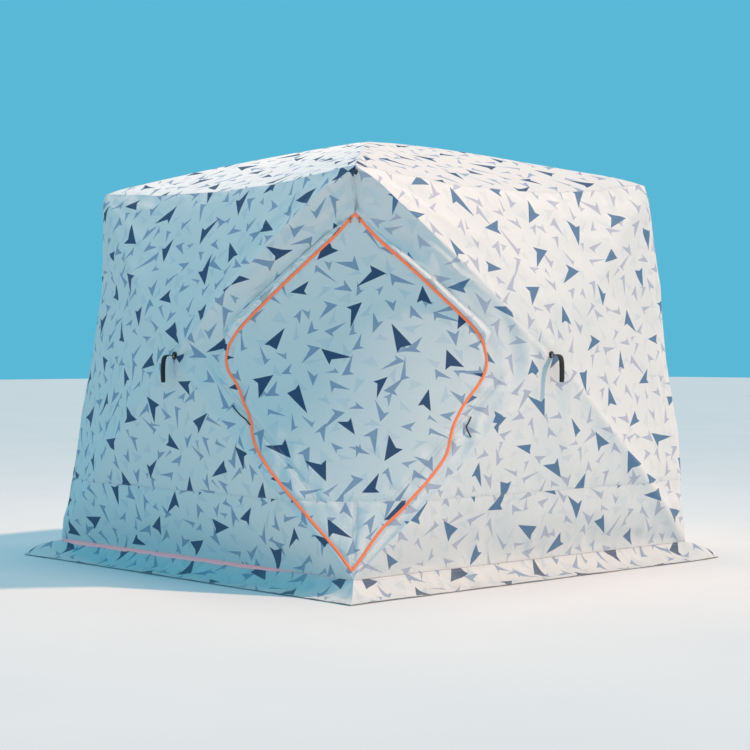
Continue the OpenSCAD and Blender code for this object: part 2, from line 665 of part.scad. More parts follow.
// A hub's body: slots for the tongues of four ferrules, bores for their pins, a boss that
// bears on the cloth, and a grip ring on the inside
pin_hole_r = pin_d / 2 + pin_gap;
pin_l = slot_w + 2 * pin_cheek;
module hub_body(angles, boss_h) {
    difference() {
        union() {
            translate([0, 0, -hub_t / 2]) cylinder(h = hub_t, d = hub_d, $fn = 64);
            cylinder(h = boss_h, r1 = boss_r, r2 = boss_tip_r, $fn = 40);
            translate([0, 0, -hub_t / 2 - grip_h])
                cylinder(h = grip_h + 1, r = boss_r + tube_wall, $fn = 40);
        }
        translate([0, 0, -hub_t / 2 - grip_h - 1]) cylinder(h = grip_h + 1, r = boss_r, $fn = 40);
        for (a = angles) rotate([0, 0, a]) {
            translate([pivot_r - eye_r - hub_air, -slot_w / 2, -hub_t]) cube([hub_d, slot_w, 2 * hub_t]);
            translate([pivot_r, 0, 0])
                along_y() cylinder(h = pin_l, r = pin_hole_r, center = true, $fn = 24);
        }
    }
}
wall_angles = [for (q = [top_joint_at, base_joint_at], s = [0, 1])
    s == 0 ? hub_angle(q) : 180 - hub_angle(q)];
hub_slope = (ring_pt(1).y - wall_hub.y) / (ring_pt(1).z - hub_h);
module wall_hub_body(side) {
    color("dimgray") on_side(side) place(wall_hub_at, OUT, [1, 0, 0])
        hub_body(wall_angles, hub_sink - cloth_t - seat_gap - boss_tip_r * hub_slope);
}
module roof_hub() {
    boss_h = roof_top.z - roof_hub_at.z - cloth_t - hub_air - boss_tip_r * roof_slope;
    color("dimgray") place(roof_hub_at, UP, [1, 0, 0]) hub_body([45, 135, 225, 315], boss_h);
}
module seated_pin(at, out, toward) {
    place(at, out, toward - at) along_y()
        cylinder(h = pin_l - 2 * seat_gap, d = pin_d, center = true, $fn = 24);
}
module hub_pins() {
    color("silver") four_sides() {
        both_halves() for (q = [top_joint_at, base_joint_at])
            seated_pin(wall_pin_at(q), OUT, wall_hub_at);
        seated_pin(roof_pin_at, UP, roof_hub_at);
    }
}

// Moulded corner joints, with a socket for each pole that ends there
module socket(dir, cut) {
    place([0, 0, 0], dir, cross(dir, UP)) {
        if (cut) translate([0, 0, socket_floor]) cylinder(h = joint_reach, r = pole_r + seat_gap, $fn = 40);
        else cylinder(h = joint_reach, r = ferrule_r, $fn = 40);
    }
}
module joint(at, dirs) {
    translate(at) difference() {
        union() {
            sphere(r = joint_r, $fn = 40);
            for (dir = dirs) socket(dir, false);
        }
        for (dir = dirs) socket(dir, true);
    }
}
// The pole of the neighbouring wall comes in as the mirror image over the corner
function over_corner(v) = [-v.y, -v.x, v.z];
top_back = comes_back(top_arc, joint_reach);
base_back = comes_back(base_arc, joint_reach);
module top_corner_joints() {
    color("dimgray") four_sides()
        joint(top_joint_at, [top_back, over_corner(top_back), comes_back(roof_arc, joint_reach)]);
}
module base_corner_joints() {
    color("dimgray") four_sides() joint(base_joint_at, [base_back, over_corner(base_back)]);
}

// Webbing pull outside a wall hub, under a riveted cap
cap_t = 6;
strap_t = 5;
strap_steps = 14;
strap_hand = [strap_reach, 6];
module strap(side) {
    line = [for (k = [0:strap_steps])
        curve([cap_t / 2, 0], strap_hand, strap_hand, [strap_reach, -strap_drop], k / strap_steps)];
    function across(k) =
        let (d = unit(line[min(k + 1, strap_steps)] - line[max(k - 1, 0)])) [-d[1], d[0]];
    color("black") on_side(side) translate([0, -hub_reach - seat_gap, hub_h]) {
        rotate([90, 0, 0]) cylinder(h = cap_t, d = cap_d, $fn = 40);
        translate([0, -cap_t / 2, 0]) rotate([90, 0, -90]) linear_extrude(height = strap_w, center = true)
            polygon(concat(
                [for (k = [0:strap_steps]) line[k] + across(k) * strap_t / 2],
                [for (k = [strap_steps:-1:0]) line[k] - across(k) * strap_t / 2]));
    }
}

// A cord that lies on the front saddle along a line of points, which runs to the right
module lying_cord(line, lift) {
    last = len(line) - 1;
    function beside(k, off) =
        let (d = unit(line[min(k + 1, last)] - line[max(k - 1, 0)])) line[k] + [-d[1], d[0]] * off;
    band(
        [for (k = [0:last]) beside(k, cord_w / 2)],
        [for (k = [0:last]) beside(k, -cord_w / 2)],
        lift, cord_t, false
    );
}

// A small loop of cord on the corner above the door, caught in the seam at the eave
loop_at = [-8, eave_h - 2 * loop_r];
loop_step = 20;
loop_lift = 1.9;
module corner_loop() {
    arc = [for (a = [180:-loop_step:0]) loop_at + loop_r * [cos(a), sin(a)]];
    color("black") lying_cord(arc, loop_lift);
}

// Short cord ties beside the zip, as points from its waist
LEFT_TIE = [[-114, 101], [-75, 60], [-45, 40], [-23, 14]];
RIGHT_TIE = [[69, -40], [47, 5], [59, 22], [73, 52]];
tie_lift = 2 * seat_gap;
module door_tie(side) {
    from = zip_pt(-waist_ring, side, 0);
    lying_cord([for (k = side > 0 ? RIGHT_TIE : LEFT_TIE) from + k], tie_lift);
}
module door_ties() {
    color("black") for (side = [1, -1]) door_tie(side);
}

wall_upper("right");  // right_wall_upper
wall_lower("right");  // right_wall_lower
wall_upper("left");  // left_wall_upper
wall_lower("left");  // left_wall_lower
wall_upper("back_right");  // back_right_wall_upper
wall_lower("back_right");  // back_right_wall_lower
wall_upper("back_left");  // back_left_wall_upper
wall_lower("back_left");  // back_left_wall_lower
roof_gore("right");  // right_roof_gore
roof_gore("left");  // left_roof_gore
roof_gore("back_right");  // back_right_roof_gore
roof_gore("back_left");  // back_left_roof_gore
skirt("right");  // right_skirt
skirt("left");  // left_skirt
skirt("back_right");  // back_right_skirt
skirt("back_left");  // back_left_skirt
door_upper_panel();
door_lower_panel();
door_zip();
zip_sliders();
storm_flap(1);  // storm_flap_right
storm_flap(-1);  // storm_flap_left
wall_piping();
skirt_hem();
wall_hub_body("right");  // right_hub
wall_hub_body("left");  // left_hub
wall_hub_body("back_right");  // back_right_hub
wall_hub_body("back_left");  // back_left_hub
roof_hub();
wall_poles("right");  // right_poles
wall_poles("left");  // left_poles
wall_poles("back_right");  // back_right_poles
wall_poles("back_left");  // back_left_poles
roof_poles();
hub_pins();
pole_ferrules();
top_corner_joints();
base_corner_joints();
strap("right");  // right_strap
strap("left");  // left_strap
strap("back_right");  // back_right_strap
strap("back_left");  // back_left_strap
corner_loop();
door_ties();
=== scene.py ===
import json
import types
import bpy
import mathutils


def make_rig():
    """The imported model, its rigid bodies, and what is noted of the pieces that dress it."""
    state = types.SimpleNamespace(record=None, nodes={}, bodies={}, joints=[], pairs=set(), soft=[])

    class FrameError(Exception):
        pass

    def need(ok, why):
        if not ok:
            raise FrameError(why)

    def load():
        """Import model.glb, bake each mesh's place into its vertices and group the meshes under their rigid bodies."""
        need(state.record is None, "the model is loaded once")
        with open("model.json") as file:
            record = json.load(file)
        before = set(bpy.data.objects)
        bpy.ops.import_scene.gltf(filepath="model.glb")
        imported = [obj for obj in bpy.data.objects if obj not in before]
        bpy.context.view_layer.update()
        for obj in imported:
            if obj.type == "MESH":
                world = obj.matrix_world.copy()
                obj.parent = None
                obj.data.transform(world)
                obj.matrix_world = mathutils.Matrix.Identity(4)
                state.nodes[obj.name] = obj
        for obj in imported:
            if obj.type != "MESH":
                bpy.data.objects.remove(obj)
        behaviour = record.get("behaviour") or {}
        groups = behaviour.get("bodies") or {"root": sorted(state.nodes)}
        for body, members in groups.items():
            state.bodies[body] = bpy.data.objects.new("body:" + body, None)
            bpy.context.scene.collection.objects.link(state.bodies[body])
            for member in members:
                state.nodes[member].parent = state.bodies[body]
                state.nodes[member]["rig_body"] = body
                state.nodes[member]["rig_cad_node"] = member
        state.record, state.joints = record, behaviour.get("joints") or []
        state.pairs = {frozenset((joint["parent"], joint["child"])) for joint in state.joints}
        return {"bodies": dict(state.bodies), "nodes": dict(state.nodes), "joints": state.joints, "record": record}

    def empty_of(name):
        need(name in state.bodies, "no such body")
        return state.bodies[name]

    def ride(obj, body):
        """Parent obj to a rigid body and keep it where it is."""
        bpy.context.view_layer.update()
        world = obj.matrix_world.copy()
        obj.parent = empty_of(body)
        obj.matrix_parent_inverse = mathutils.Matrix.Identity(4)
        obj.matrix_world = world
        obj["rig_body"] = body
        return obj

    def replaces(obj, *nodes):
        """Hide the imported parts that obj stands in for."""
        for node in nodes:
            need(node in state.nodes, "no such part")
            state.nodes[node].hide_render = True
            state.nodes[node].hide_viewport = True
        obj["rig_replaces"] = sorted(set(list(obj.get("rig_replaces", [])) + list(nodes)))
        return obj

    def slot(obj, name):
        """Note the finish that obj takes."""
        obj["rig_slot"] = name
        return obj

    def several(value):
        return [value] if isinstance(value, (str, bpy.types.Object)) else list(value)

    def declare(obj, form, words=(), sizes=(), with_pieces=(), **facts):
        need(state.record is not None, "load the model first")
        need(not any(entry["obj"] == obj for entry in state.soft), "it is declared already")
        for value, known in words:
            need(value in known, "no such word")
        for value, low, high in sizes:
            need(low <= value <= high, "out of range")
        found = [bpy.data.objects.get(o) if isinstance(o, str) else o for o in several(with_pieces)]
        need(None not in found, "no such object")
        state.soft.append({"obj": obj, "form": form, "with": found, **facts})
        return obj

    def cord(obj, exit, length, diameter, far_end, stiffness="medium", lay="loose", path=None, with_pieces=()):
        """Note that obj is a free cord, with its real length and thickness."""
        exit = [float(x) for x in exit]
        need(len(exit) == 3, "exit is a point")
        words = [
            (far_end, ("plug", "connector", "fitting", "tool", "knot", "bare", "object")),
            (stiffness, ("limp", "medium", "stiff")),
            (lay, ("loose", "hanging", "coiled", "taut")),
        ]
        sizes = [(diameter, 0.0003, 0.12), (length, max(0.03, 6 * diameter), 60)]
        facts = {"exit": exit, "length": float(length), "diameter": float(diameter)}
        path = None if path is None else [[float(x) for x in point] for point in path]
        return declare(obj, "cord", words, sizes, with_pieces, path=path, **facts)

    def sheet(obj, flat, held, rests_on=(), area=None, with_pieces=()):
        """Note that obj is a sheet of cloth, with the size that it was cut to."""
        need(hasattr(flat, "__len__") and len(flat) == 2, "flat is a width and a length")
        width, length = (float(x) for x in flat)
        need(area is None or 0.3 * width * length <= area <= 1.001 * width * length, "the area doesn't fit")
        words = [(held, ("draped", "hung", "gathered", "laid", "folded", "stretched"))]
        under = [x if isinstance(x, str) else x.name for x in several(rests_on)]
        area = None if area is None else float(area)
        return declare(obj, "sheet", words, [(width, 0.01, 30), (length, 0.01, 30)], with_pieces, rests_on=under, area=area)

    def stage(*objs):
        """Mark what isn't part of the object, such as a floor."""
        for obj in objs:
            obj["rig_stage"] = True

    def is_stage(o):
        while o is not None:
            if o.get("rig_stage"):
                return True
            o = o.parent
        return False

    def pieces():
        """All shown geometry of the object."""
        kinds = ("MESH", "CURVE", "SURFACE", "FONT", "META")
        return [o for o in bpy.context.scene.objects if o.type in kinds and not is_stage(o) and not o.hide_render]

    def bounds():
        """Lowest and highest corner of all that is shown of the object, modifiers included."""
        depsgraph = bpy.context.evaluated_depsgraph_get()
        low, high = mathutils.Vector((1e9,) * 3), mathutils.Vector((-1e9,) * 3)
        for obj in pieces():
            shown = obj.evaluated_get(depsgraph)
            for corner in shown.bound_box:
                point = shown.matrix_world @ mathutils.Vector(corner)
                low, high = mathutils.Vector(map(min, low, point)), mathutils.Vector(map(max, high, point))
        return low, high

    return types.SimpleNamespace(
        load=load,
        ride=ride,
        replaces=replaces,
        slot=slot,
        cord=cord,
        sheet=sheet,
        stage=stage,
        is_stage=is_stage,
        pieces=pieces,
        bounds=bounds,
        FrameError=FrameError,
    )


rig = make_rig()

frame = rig.load()

import json
import math
import bmesh
import bpy
import numpy as np
from mathutils import Matrix, Vector

cad_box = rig.bounds()

# Hubs. Five black nylon hubs, moulded with slots for the pole ends; the frame folds at them.
# They keep their solid shapes and get a fine spark-eroded grain, rubbed bright on the edges.


class Shade:
    """A value, colour or vector in a material; operators on values add Math nodes."""

    def __init__(self, tree, out=None):
        self.tree, self.out = tree, out

    def node(self, kind, settings=None, sockets=None, out=0):
        """A shader node of that kind: its settings first, then its sockets by name or number."""
        made = self.tree.nodes.new("ShaderNode" + kind)
        for name, value in (settings or {}).items():
            if name == "stops":
                for place, (at, colour) in enumerate(value):
                    stop = made.color_ramp.elements[place] if place < 2 else made.color_ramp.elements.new(at)
                    stop.position, stop.color = at, (*colour, 1)
            else:
                setattr(made, name, value)
        for name, value in (sockets or {}).items():
            if isinstance(value, Shade):
                self.tree.links.new(value.out, made.inputs[name])
            else:
                made.inputs[name].default_value = value
        return Shade(self.tree, made.outputs[out])

    def math(self, operation, *values):
        return self.node("Math", {"operation": operation}, dict(enumerate(values)))

    def vector(self, operation, *values):
        return self.node("VectorMath", {"operation": operation}, dict(enumerate(values)))

    def __add__(self, other):
        return self.math("ADD", self, other)

    __radd__ = __add__

    def __sub__(self, other):
        return self.math("SUBTRACT", self, other)

    def __rsub__(self, other):
        return self.math("SUBTRACT", other, self)

    def __mul__(self, other):
        return self.math("MULTIPLY", self, other)

    __rmul__ = __mul__

    def __truediv__(self, other):
        return self.math("DIVIDE", self, other)

    def __rtruediv__(self, other):
        return self.math("DIVIDE", other, self)

    def __gt__(self, other):
        return self.math("GREATER_THAN", self, other)

    def __abs__(self):
        return self.math("ABSOLUTE", self)

    def clipped(self):
        return self.node("Math", {"operation": "ADD", "use_clamp": True}, {0: self, 1: 0.0})

    def least(self, other):
        return self.math("MINIMUM", self, other)

    def split(self, axis):
        return self.node("SeparateXYZ", {}, {0: self}, out=axis)

    def plain(self, colour):
        """One colour, as a start for others that are laid over it."""
        made = self.node("RGB")
        made.out.default_value = (*colour, 1)
        return made

    def over(self, factor, colour):
        """This colour with another laid over it by factor."""
        return self.node("Mix", {"data_type": "RGBA"}, {0: factor, 6: self, 7: colour}, out=2)

    def noise(self, scale, detail=2.0, out=0, rough=0.5):
        return self.node("TexNoise", {}, {"Vector": self, "Scale": scale, "Detail": detail,
                                          "Roughness": rough}, out=out)


def finish(name):
    """A material, its shader and the point of the piece that is coloured, in metres."""
    made = bpy.data.materials.new(name)
    made.use_nodes = True
    place = Shade(made.node_tree).node("TexCoord", out=3)
    return made, made.node_tree.nodes["Principled BSDF"], place


def feed(shader, **sockets):
    """Sets or links the shader's sockets; an underscore in a name stands for a space."""
    for name, value in sockets.items():
        target = shader.inputs[name.replace("_", " ")]
        if isinstance(value, Shade):
            value.tree.links.new(value.out, target)
        else:
            target.default_value = value


def bumped(height, depth):
    """A surface that stands up by the height times the depth in metres."""
    return height.node("Bump", {}, {"Height": height, "Distance": depth, "Strength": 1.0})


def rubbed(mottle, edge, gain):
    """Where handling has rubbed the edges bright, sharper than edge, broken up by a mottle."""
    return ((mottle.node("NewGeometry", out=7) - edge) * gain).clipped() * mottle


def dress(material, *names):
    """Gives a finish to solids that keep their shapes."""
    for name in names:
        for held in frame["nodes"][name].material_slots:
            held.material = material


def nylon(name, tone, grain):
    """Black moulded nylon with a fine spark-eroded grain."""
    made, shader, place = finish(name)
    mottle = place.noise(9.0, 3.0)
    base = place.plain(tone).over(rubbed(mottle, 0.53, 9.0), (0.16, 0.16, 0.165, 1))
    feed(shader, Base_Color=base, Roughness=0.42 + 0.22 * mottle, Normal=bumped(place.noise(grain), 0.0002),
         Specular_IOR_Level=0.45)
    return made


dress(nylon("hub nylon", (0.028, 0.028, 0.031), 2600.0),
      "right_hub", "left_hub", "back_right_hub", "back_left_hub", "roof_hub")

# Ferrules, pins and corner joints. Black nylon ferrules are glued on the poles and turn on
# zinc-plated pins in the hubs; moulded joints hold the poles' outer ends in the corners.

dress(nylon("ferrule nylon", (0.045, 0.045, 0.048), 1900.0), "pole_ferrules")
dress(nylon("joint nylon", (0.036, 0.036, 0.04), 2200.0), "top_corner_joints", "base_corner_joints")

pin_steel, shader, place = finish("pin steel")
zinc = place.plain((0.5, 0.5, 0.5)).over(place.noise(260.0), (0.62, 0.62, 0.6, 1))
feed(shader, Base_Color=zinc, Metallic=1.0, Roughness=0.24 + 0.2 * place.noise(900.0, 3.0),
     Normal=bumped(place.noise(1800.0), 0.0001))
dress(pin_steel, "hub_pins")

# Poles. Solid fibreglass rods, pulled to shape with the glass running along them, bent into
# their arcs by the cloth; off-white resin with a faint lengthwise streak.

glass_rod, shader, place = finish("fibreglass rod")
streak, cloudy = place.noise(420.0, 4.0), place.noise(6.0)
resin = streak.node("ValToRGB", {"stops": ((0.25, (0.56, 0.54, 0.46)), (0.8, (0.74, 0.73, 0.66)))},
                    {0: streak})
feed(shader, Base_Color=resin.over(cloudy * 0.35, (0.5, 0.49, 0.4, 1)), Roughness=0.22 + 0.2 * streak,
     Coat_Weight=0.25, Coat_Roughness=0.2, Normal=bumped(streak, 0.0002))
dress(glass_rod, "right_poles", "left_poles", "back_right_poles", "back_left_poles", "roof_poles")

# Walls. Insulated polyester, white with a printed winter camouflage, cut so that it stretches
# between the four bent poles of a side; an upper and a lower panel meet in a level seam.

RINGS, SEAM_RING, FINE = 12, 8, 6
ROOT2 = 2 ** 0.5
base_half, top_half, base_lift = 1.17, 1.0075, 0.085
seam_h, eave_h, peak_h, hub_h, hub_out = 0.415, 1.925, 2.2, 1.065, 0.19
eave_in, eave_drop, corner_in, wall_bow, roof_bow = 0.045, 0.05, 0.025, 0.035, 0.018
cloth_t = 0.0025
FRONT_OUT, SIDE_OUT, UP = np.array([0.0, -1, 0]), np.array([-1.0, 0, 0]), np.array([0.0, 0, 1])
hub_reach = base_half + (top_half - base_half) * (hub_h - base_lift) / (eave_h - base_lift) + hub_out
wall_hub = np.array([0, -hub_reach, hub_h])
eave_corner = np.array([top_half, -top_half, eave_h])
base_corner = np.array([base_half, -base_half, base_lift])


def xyz(x, y, z):
    """Points from their coordinates, each an array or one number for all."""
    return np.stack(np.broadcast_arrays(x, y, z), -1)


def between(a, b, t):
    return a + (b - a) * np.asarray(t, float)[..., None]


def norm(v):
    """The lengths of vectors."""
    return np.linalg.norm(v, axis=-1)


def unit(v):
    return v / np.maximum(norm(v)[..., None], 1e-12)


def bow_way(a, b, out):
    """The direction in which a pole from a to b is bent: out, but square to the pole."""
    d = unit(b - a)
    return unit(out - out.dot(d) * d)


def over_pole(a, b, out, bow, t):
    """The cloth's line over a bent pole, at shares t of the way."""
    t = np.asarray(t, float)
    return between(a, b, t) + bow_way(a, b, out) * (bow * 4 * t * (1 - t))[..., None]


# Where the level seam crosses the lower pole: the height of a bent pole is quadratic in its share.
low_bow = 4 * wall_bow * bow_way(wall_hub, base_corner, FRONT_OUT)[2]
low_run, low_fall = hub_h - base_lift - low_bow, hub_h - seam_h
seam_share = 2 * low_fall / (low_run + math.sqrt(low_run ** 2 + 4 * low_bow * low_fall))


def ring_share(i):
    """How far along its pole a ring of cloth lies; rings above the hub are positive."""
    below = np.where(-i <= SEAM_RING, seam_share * -i / SEAM_RING,
                     seam_share + (1 - seam_share) * (-i - SEAM_RING) / (RINGS - SEAM_RING))
    return np.where(i >= 0, i / RINGS, below)


def ring_pt(i):
    """Where ring i crosses the pole to the right, on the wall that faces -Y."""
    i = np.asarray(i, float)
    high = over_pole(wall_hub, eave_corner, FRONT_OUT, wall_bow, ring_share(i))
    low = over_pole(wall_hub, base_corner, FRONT_OUT, wall_bow, ring_share(i))
    return np.where((i >= 0)[..., None], high, low)


def wall_pt(i, j):
    """The outside of the wall that faces -Y, at row i and column j counted from its hub."""
    m = np.maximum(np.maximum(abs(i), abs(j)), 1e-9)
    full, side = m / RINGS, np.sign(j)
    p, low, high = ring_pt(i), ring_pt(-m), ring_pt(m)
    f = np.where(m < 1e-6, 0, j / m)
    pull = np.where(i > 0, (1 - f * f) * full * full, 0)
    inner = xyz(p[..., 0] * f, p[..., 1] + eave_in * pull, p[..., 2] - eave_drop * pull)
    g = (p[..., 2] - low[..., 2]) / np.maximum(high[..., 2] - low[..., 2], 1e-9)
    q = between(low, high, g)
    pull = corner_in * 4 * g * (1 - g) * full * full
    outer = xyz(side * (q[..., 0] - pull), q[..., 1] + pull, q[..., 2])
    return np.where((abs(j) <= abs(i))[..., None], inner, outer)


TURNS = {"right": 0, "left": 0, "back_right": 90, "back_left": 180}


def on_side(side, p):
    """Points of the side that faces -Y carried to another; the left one is mirrored at the door."""
    if side == "left":
        return p[..., [1, 0, 2]]
    return p @ np.array(Matrix.Rotation(math.radians(TURNS[side]), 3, "Z")).T


def smooth01(x):
    x = np.clip(x, 0, 1)
    return x * x * (3 - 2 * x)


def ripple(p, size, seed):
    """Smooth noise from -1 to 1 over points p, with lumps of about that size in metres."""
    q = np.asarray(p, float) / size + seed * 17.31
    cell = np.floor(q).astype(np.int64)
    f = smooth01(q - cell)
    total = 0
    for corner in range(8):
        step = np.array([corner & 1, corner >> 1 & 1, corner >> 2 & 1])
        c = cell + step
        h = c[..., 0] * 374761393 + c[..., 1] * 668265263 + c[..., 2] * 1440670441 + seed * 974634777
        h = ((h ^ h >> 13) & 0xFFFFFF) * 1274126177
        luck = ((h ^ h >> 16) & 0xFFFF) / 32767.5 - 1
        total = total + luck * np.prod(np.where(step, f, 1 - f), axis=-1)
    return total


def crease(p, size, seed):
    """Ridged noise from -1 to 1, as of cloth that is folded along lines."""
    return 1.0 - 2.2 * np.sqrt(ripple(p, size, seed) ** 2 + 0.004)


def seam_dent(d, width):
    """Nothing at a seam, 1 at width from it, and dying away further in."""
    x = np.maximum(d, 0) / width
    return x * np.exp(1 - x)


def puckers(height, d, width, p, size, seed):
    """Creases of that height beside a seam; d is the distance from it, size their length."""
    return height * seam_dent(d, width) * crease(p, size, seed)


def bell(d, width):
    """1 at no distance, falling off softly over the width."""
    return np.exp(-(d / width) ** 2)


# Height up an outer corner seam, and how far it stands out there along the diagonal. The right seam
# bulges all the way and its top is lifted; the left one is drawn in over its upper half.
bulging_seam = ((0.085, 0), (0.25, 0.02), (0.45, 0.047), (0.67, 0.069), (1.05, 0.055), (1.42, 0.062),
                (1.66, 0.034), (1.85, 0.014), (1.95, 0))
drawn_seam = ((0.085, 0), (0.2, 0.018), (0.3, 0.006), (0.5, 0), (0.74, 0.008), (0.9, 0), (1.08, -0.011),
              (1.3, -0.018), (1.39, -0.026), (1.56, -0.017), (1.75, -0.01), (1.88, 0))
top_out, top_up, top_reach = 0.022, 0.033, 0.4
# A groove runs down the front corner from the eave, and is deepest at its foot.
groove_foot, groove_deep, groove_w, front_of = 1.72, 0.014, 0.014, -1.2


def seam_slack(p):
    """How the cloth beside the two outer corner seams is moved out of its smooth shape."""
    z, moved = p[..., 2], 0
    line = base_half + (top_half - base_half) * (z - base_lift) / (eave_h - base_lift)
    gap = line * np.where(z > hub_h, (eave_h - z) / (eave_h - hub_h), (z - base_lift) / (hub_h - base_lift))
    reach = np.clip(0.6 * gap, 0.06, 0.3)
    for way, seam in ((np.array([1, -1, 0]), bulging_seam), (np.array([-1, 1, 0]), drawn_seam)):
        aside = norm((p - line[..., None] * way) * [1, 1, 0])
        out = np.interp(z, *zip(*seam)) * bell(aside, reach)
        moved = moved + out[..., None] * way / ROOT2
    near = bell(norm(p - eave_corner), top_reach)
    moved = moved + near[..., None] * [top_out / ROOT2, -top_out / ROOT2, top_up]
    across, front = (p[..., 0] - p[..., 1]) / ROOT2, p[..., 0] + p[..., 1] < front_of
    ends = smooth01((z - groove_foot) / 0.02) * smooth01((eave_h - 0.012 - z) / 0.04)
    deeper = 1 + 0.9 * bell(z - groove_foot - 0.022, 0.018)
    groove = groove_deep * deeper * bell(across, groove_w) * ends * front
    return moved + groove[..., None] * [1 / ROOT2, 1 / ROOT2, 0]


def settle(p):
    """Points moved by the slack that neighbouring pieces share, so that their seams stay closed."""
    r = norm(p[..., :2])
    slack = (0.0018 * ripple(p, 0.33, 5) + 0.001 * ripple(p, 0.12, 8)) * smooth01(r / 0.4)
    corner = xyz(np.sign(p[..., 0]) * top_half, np.sign(p[..., 1]) * top_half, eave_h)
    from_corner = norm(p - corner)
    eased = 0.009 * bell(from_corner, 0.06)
    inward = -np.sign(p * [1, 1, 0] + [0, 0, 1]) / 3 ** 0.5
    eave = bell(p[..., 2] - eave_h + eave_drop / 2, 0.05) * smooth01((r - 0.8) / 0.15)
    wave = 0.006 * ripple(p, 0.13, 9) * eave * (1 - bell(from_corner, 0.1))
    moved = p + p * [1, 1, 0] * (slack / np.maximum(r, 1e-6))[..., None] + inward * eased[..., None]
    return moved + UP * wave[..., None] + seam_slack(p)


def grid_normals(p):
    """Unit normals of a grid of points, rows by columns."""
    return unit(np.cross(np.gradient(p, axis=1), np.gradient(p, axis=0)))


def relaxed(p, rounds, held):
    """A grid eased by its neighbours, as cloth rounds off over a pole; held points stay."""
    for _ in range(rounds):
        q = p.copy()
        q[1:-1, 1:-1] = (p[:-2, 1:-1] + p[2:, 1:-1] + p[1:-1, :-2] + p[1:-1, 2:]) / 4
        p = np.where(held[..., None], p, p * 0.4 + q * 0.6)
    return p


def cells(row0, row1, cols, outward=True):
    """The corners of each cell between two rows of a grid that is cols cells wide, in reverse if
    their plain order doesn't face out."""
    for a in range(row0, row1):
        for k in range(a * (cols + 1), a * (cols + 1) + cols):
            q = [k, k + 1, k + cols + 2, k + cols + 1]
            yield q if outward else [q[0], q[3], q[2], q[1]]


def built(name, points, faces, layers, material, slot, *cad, bend=50):
    """A mesh object from points and faces, with UV layers by name, riding on the root."""
    mesh = bpy.data.meshes.new(name)
    mesh.from_pydata(np.asarray(points).tolist(), [], faces)
    for title, pairs in layers.items():
        mesh.uv_layers.new(name=title).data.foreach_set("uv", np.asarray(pairs, float).ravel())
    mesh.shade_smooth()
    mesh.set_sharp_from_angle(angle=math.radians(bend))
    mesh.materials.append(material)
    made = bpy.data.objects.new(name, mesh)
    bpy.context.scene.collection.objects.link(made)
    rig.ride(made, "root")
    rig.replaces(made, *cad)
    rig.slot(made, slot)
    return made


def sewn(name, outside, inward, quads, charts, seams, material, slot, node, mirrored=False,
         thick=cloth_t):
    """A closed piece of cloth. outside holds the outer points, inward the unit directions into the
    cloth, quads the outer faces; charts and seams hold a UV pair for each face corner."""
    used = np.unique(np.concatenate([np.asarray(q) for q in quads]))
    number = {int(k): n for n, k in enumerate(used)}
    points = np.concatenate([outside[used], outside[used] + inward[used] * thick])
    count, faces, chart, seam, edges = len(used), [], [], [], {}
    for q, c, s in zip(quads, charts, seams):
        ids = [number[int(k)] for k in q]
        if mirrored:
            ids, c, s = ids[::-1], c[::-1], s[::-1]
        faces += [ids, [k + count for k in reversed(ids)]]
        chart += [*c, *c[::-1]]
        seam += [*s, *s[::-1]]
        for n, a in enumerate(ids):
            m = (n + 1) % len(ids)
            key = (min(a, ids[m]), max(a, ids[m]))
            edges[key] = None if key in edges else (a, ids[m], c[n], c[m], s[n], s[m])
    for a, b, ca, cb, sa, sb in filter(None, edges.values()):
        faces.append([b, a, a + count, b + count])
        chart += [cb, ca, ca, cb]
        seam += [sb, sa, sa, sb]
    return built(name, points, faces, {"chart": chart, "seam": seam}, material, slot, node)


def sheet_area(points, quads):
    """The area of faces over smooth points, before any fold."""
    total = 0
    for q in quads:
        a, b, c = (points[k] for k in q[:3])
        total += np.linalg.norm(np.cross(b - a, c - a)) / 2
        if len(q) == 4:
            total += np.linalg.norm(np.cross(c - a, points[q[3]] - a)) / 2
    return float(total)


# Two sets of print tones. The first is the print as it reads in shade. The second, paler set is a lit copy of it for
# the sunlit right wall, so the paleness of the print there is painted light.
deep_inks = ((0.017, 0.066, 0.16), (0.25, 0.35, 0.50), (0.57, 0.66, 0.72))
sunlit_copy_inks = ((0.085, 0.195, 0.34), (0.45, 0.48, 0.59), (0.65, 0.70, 0.73))


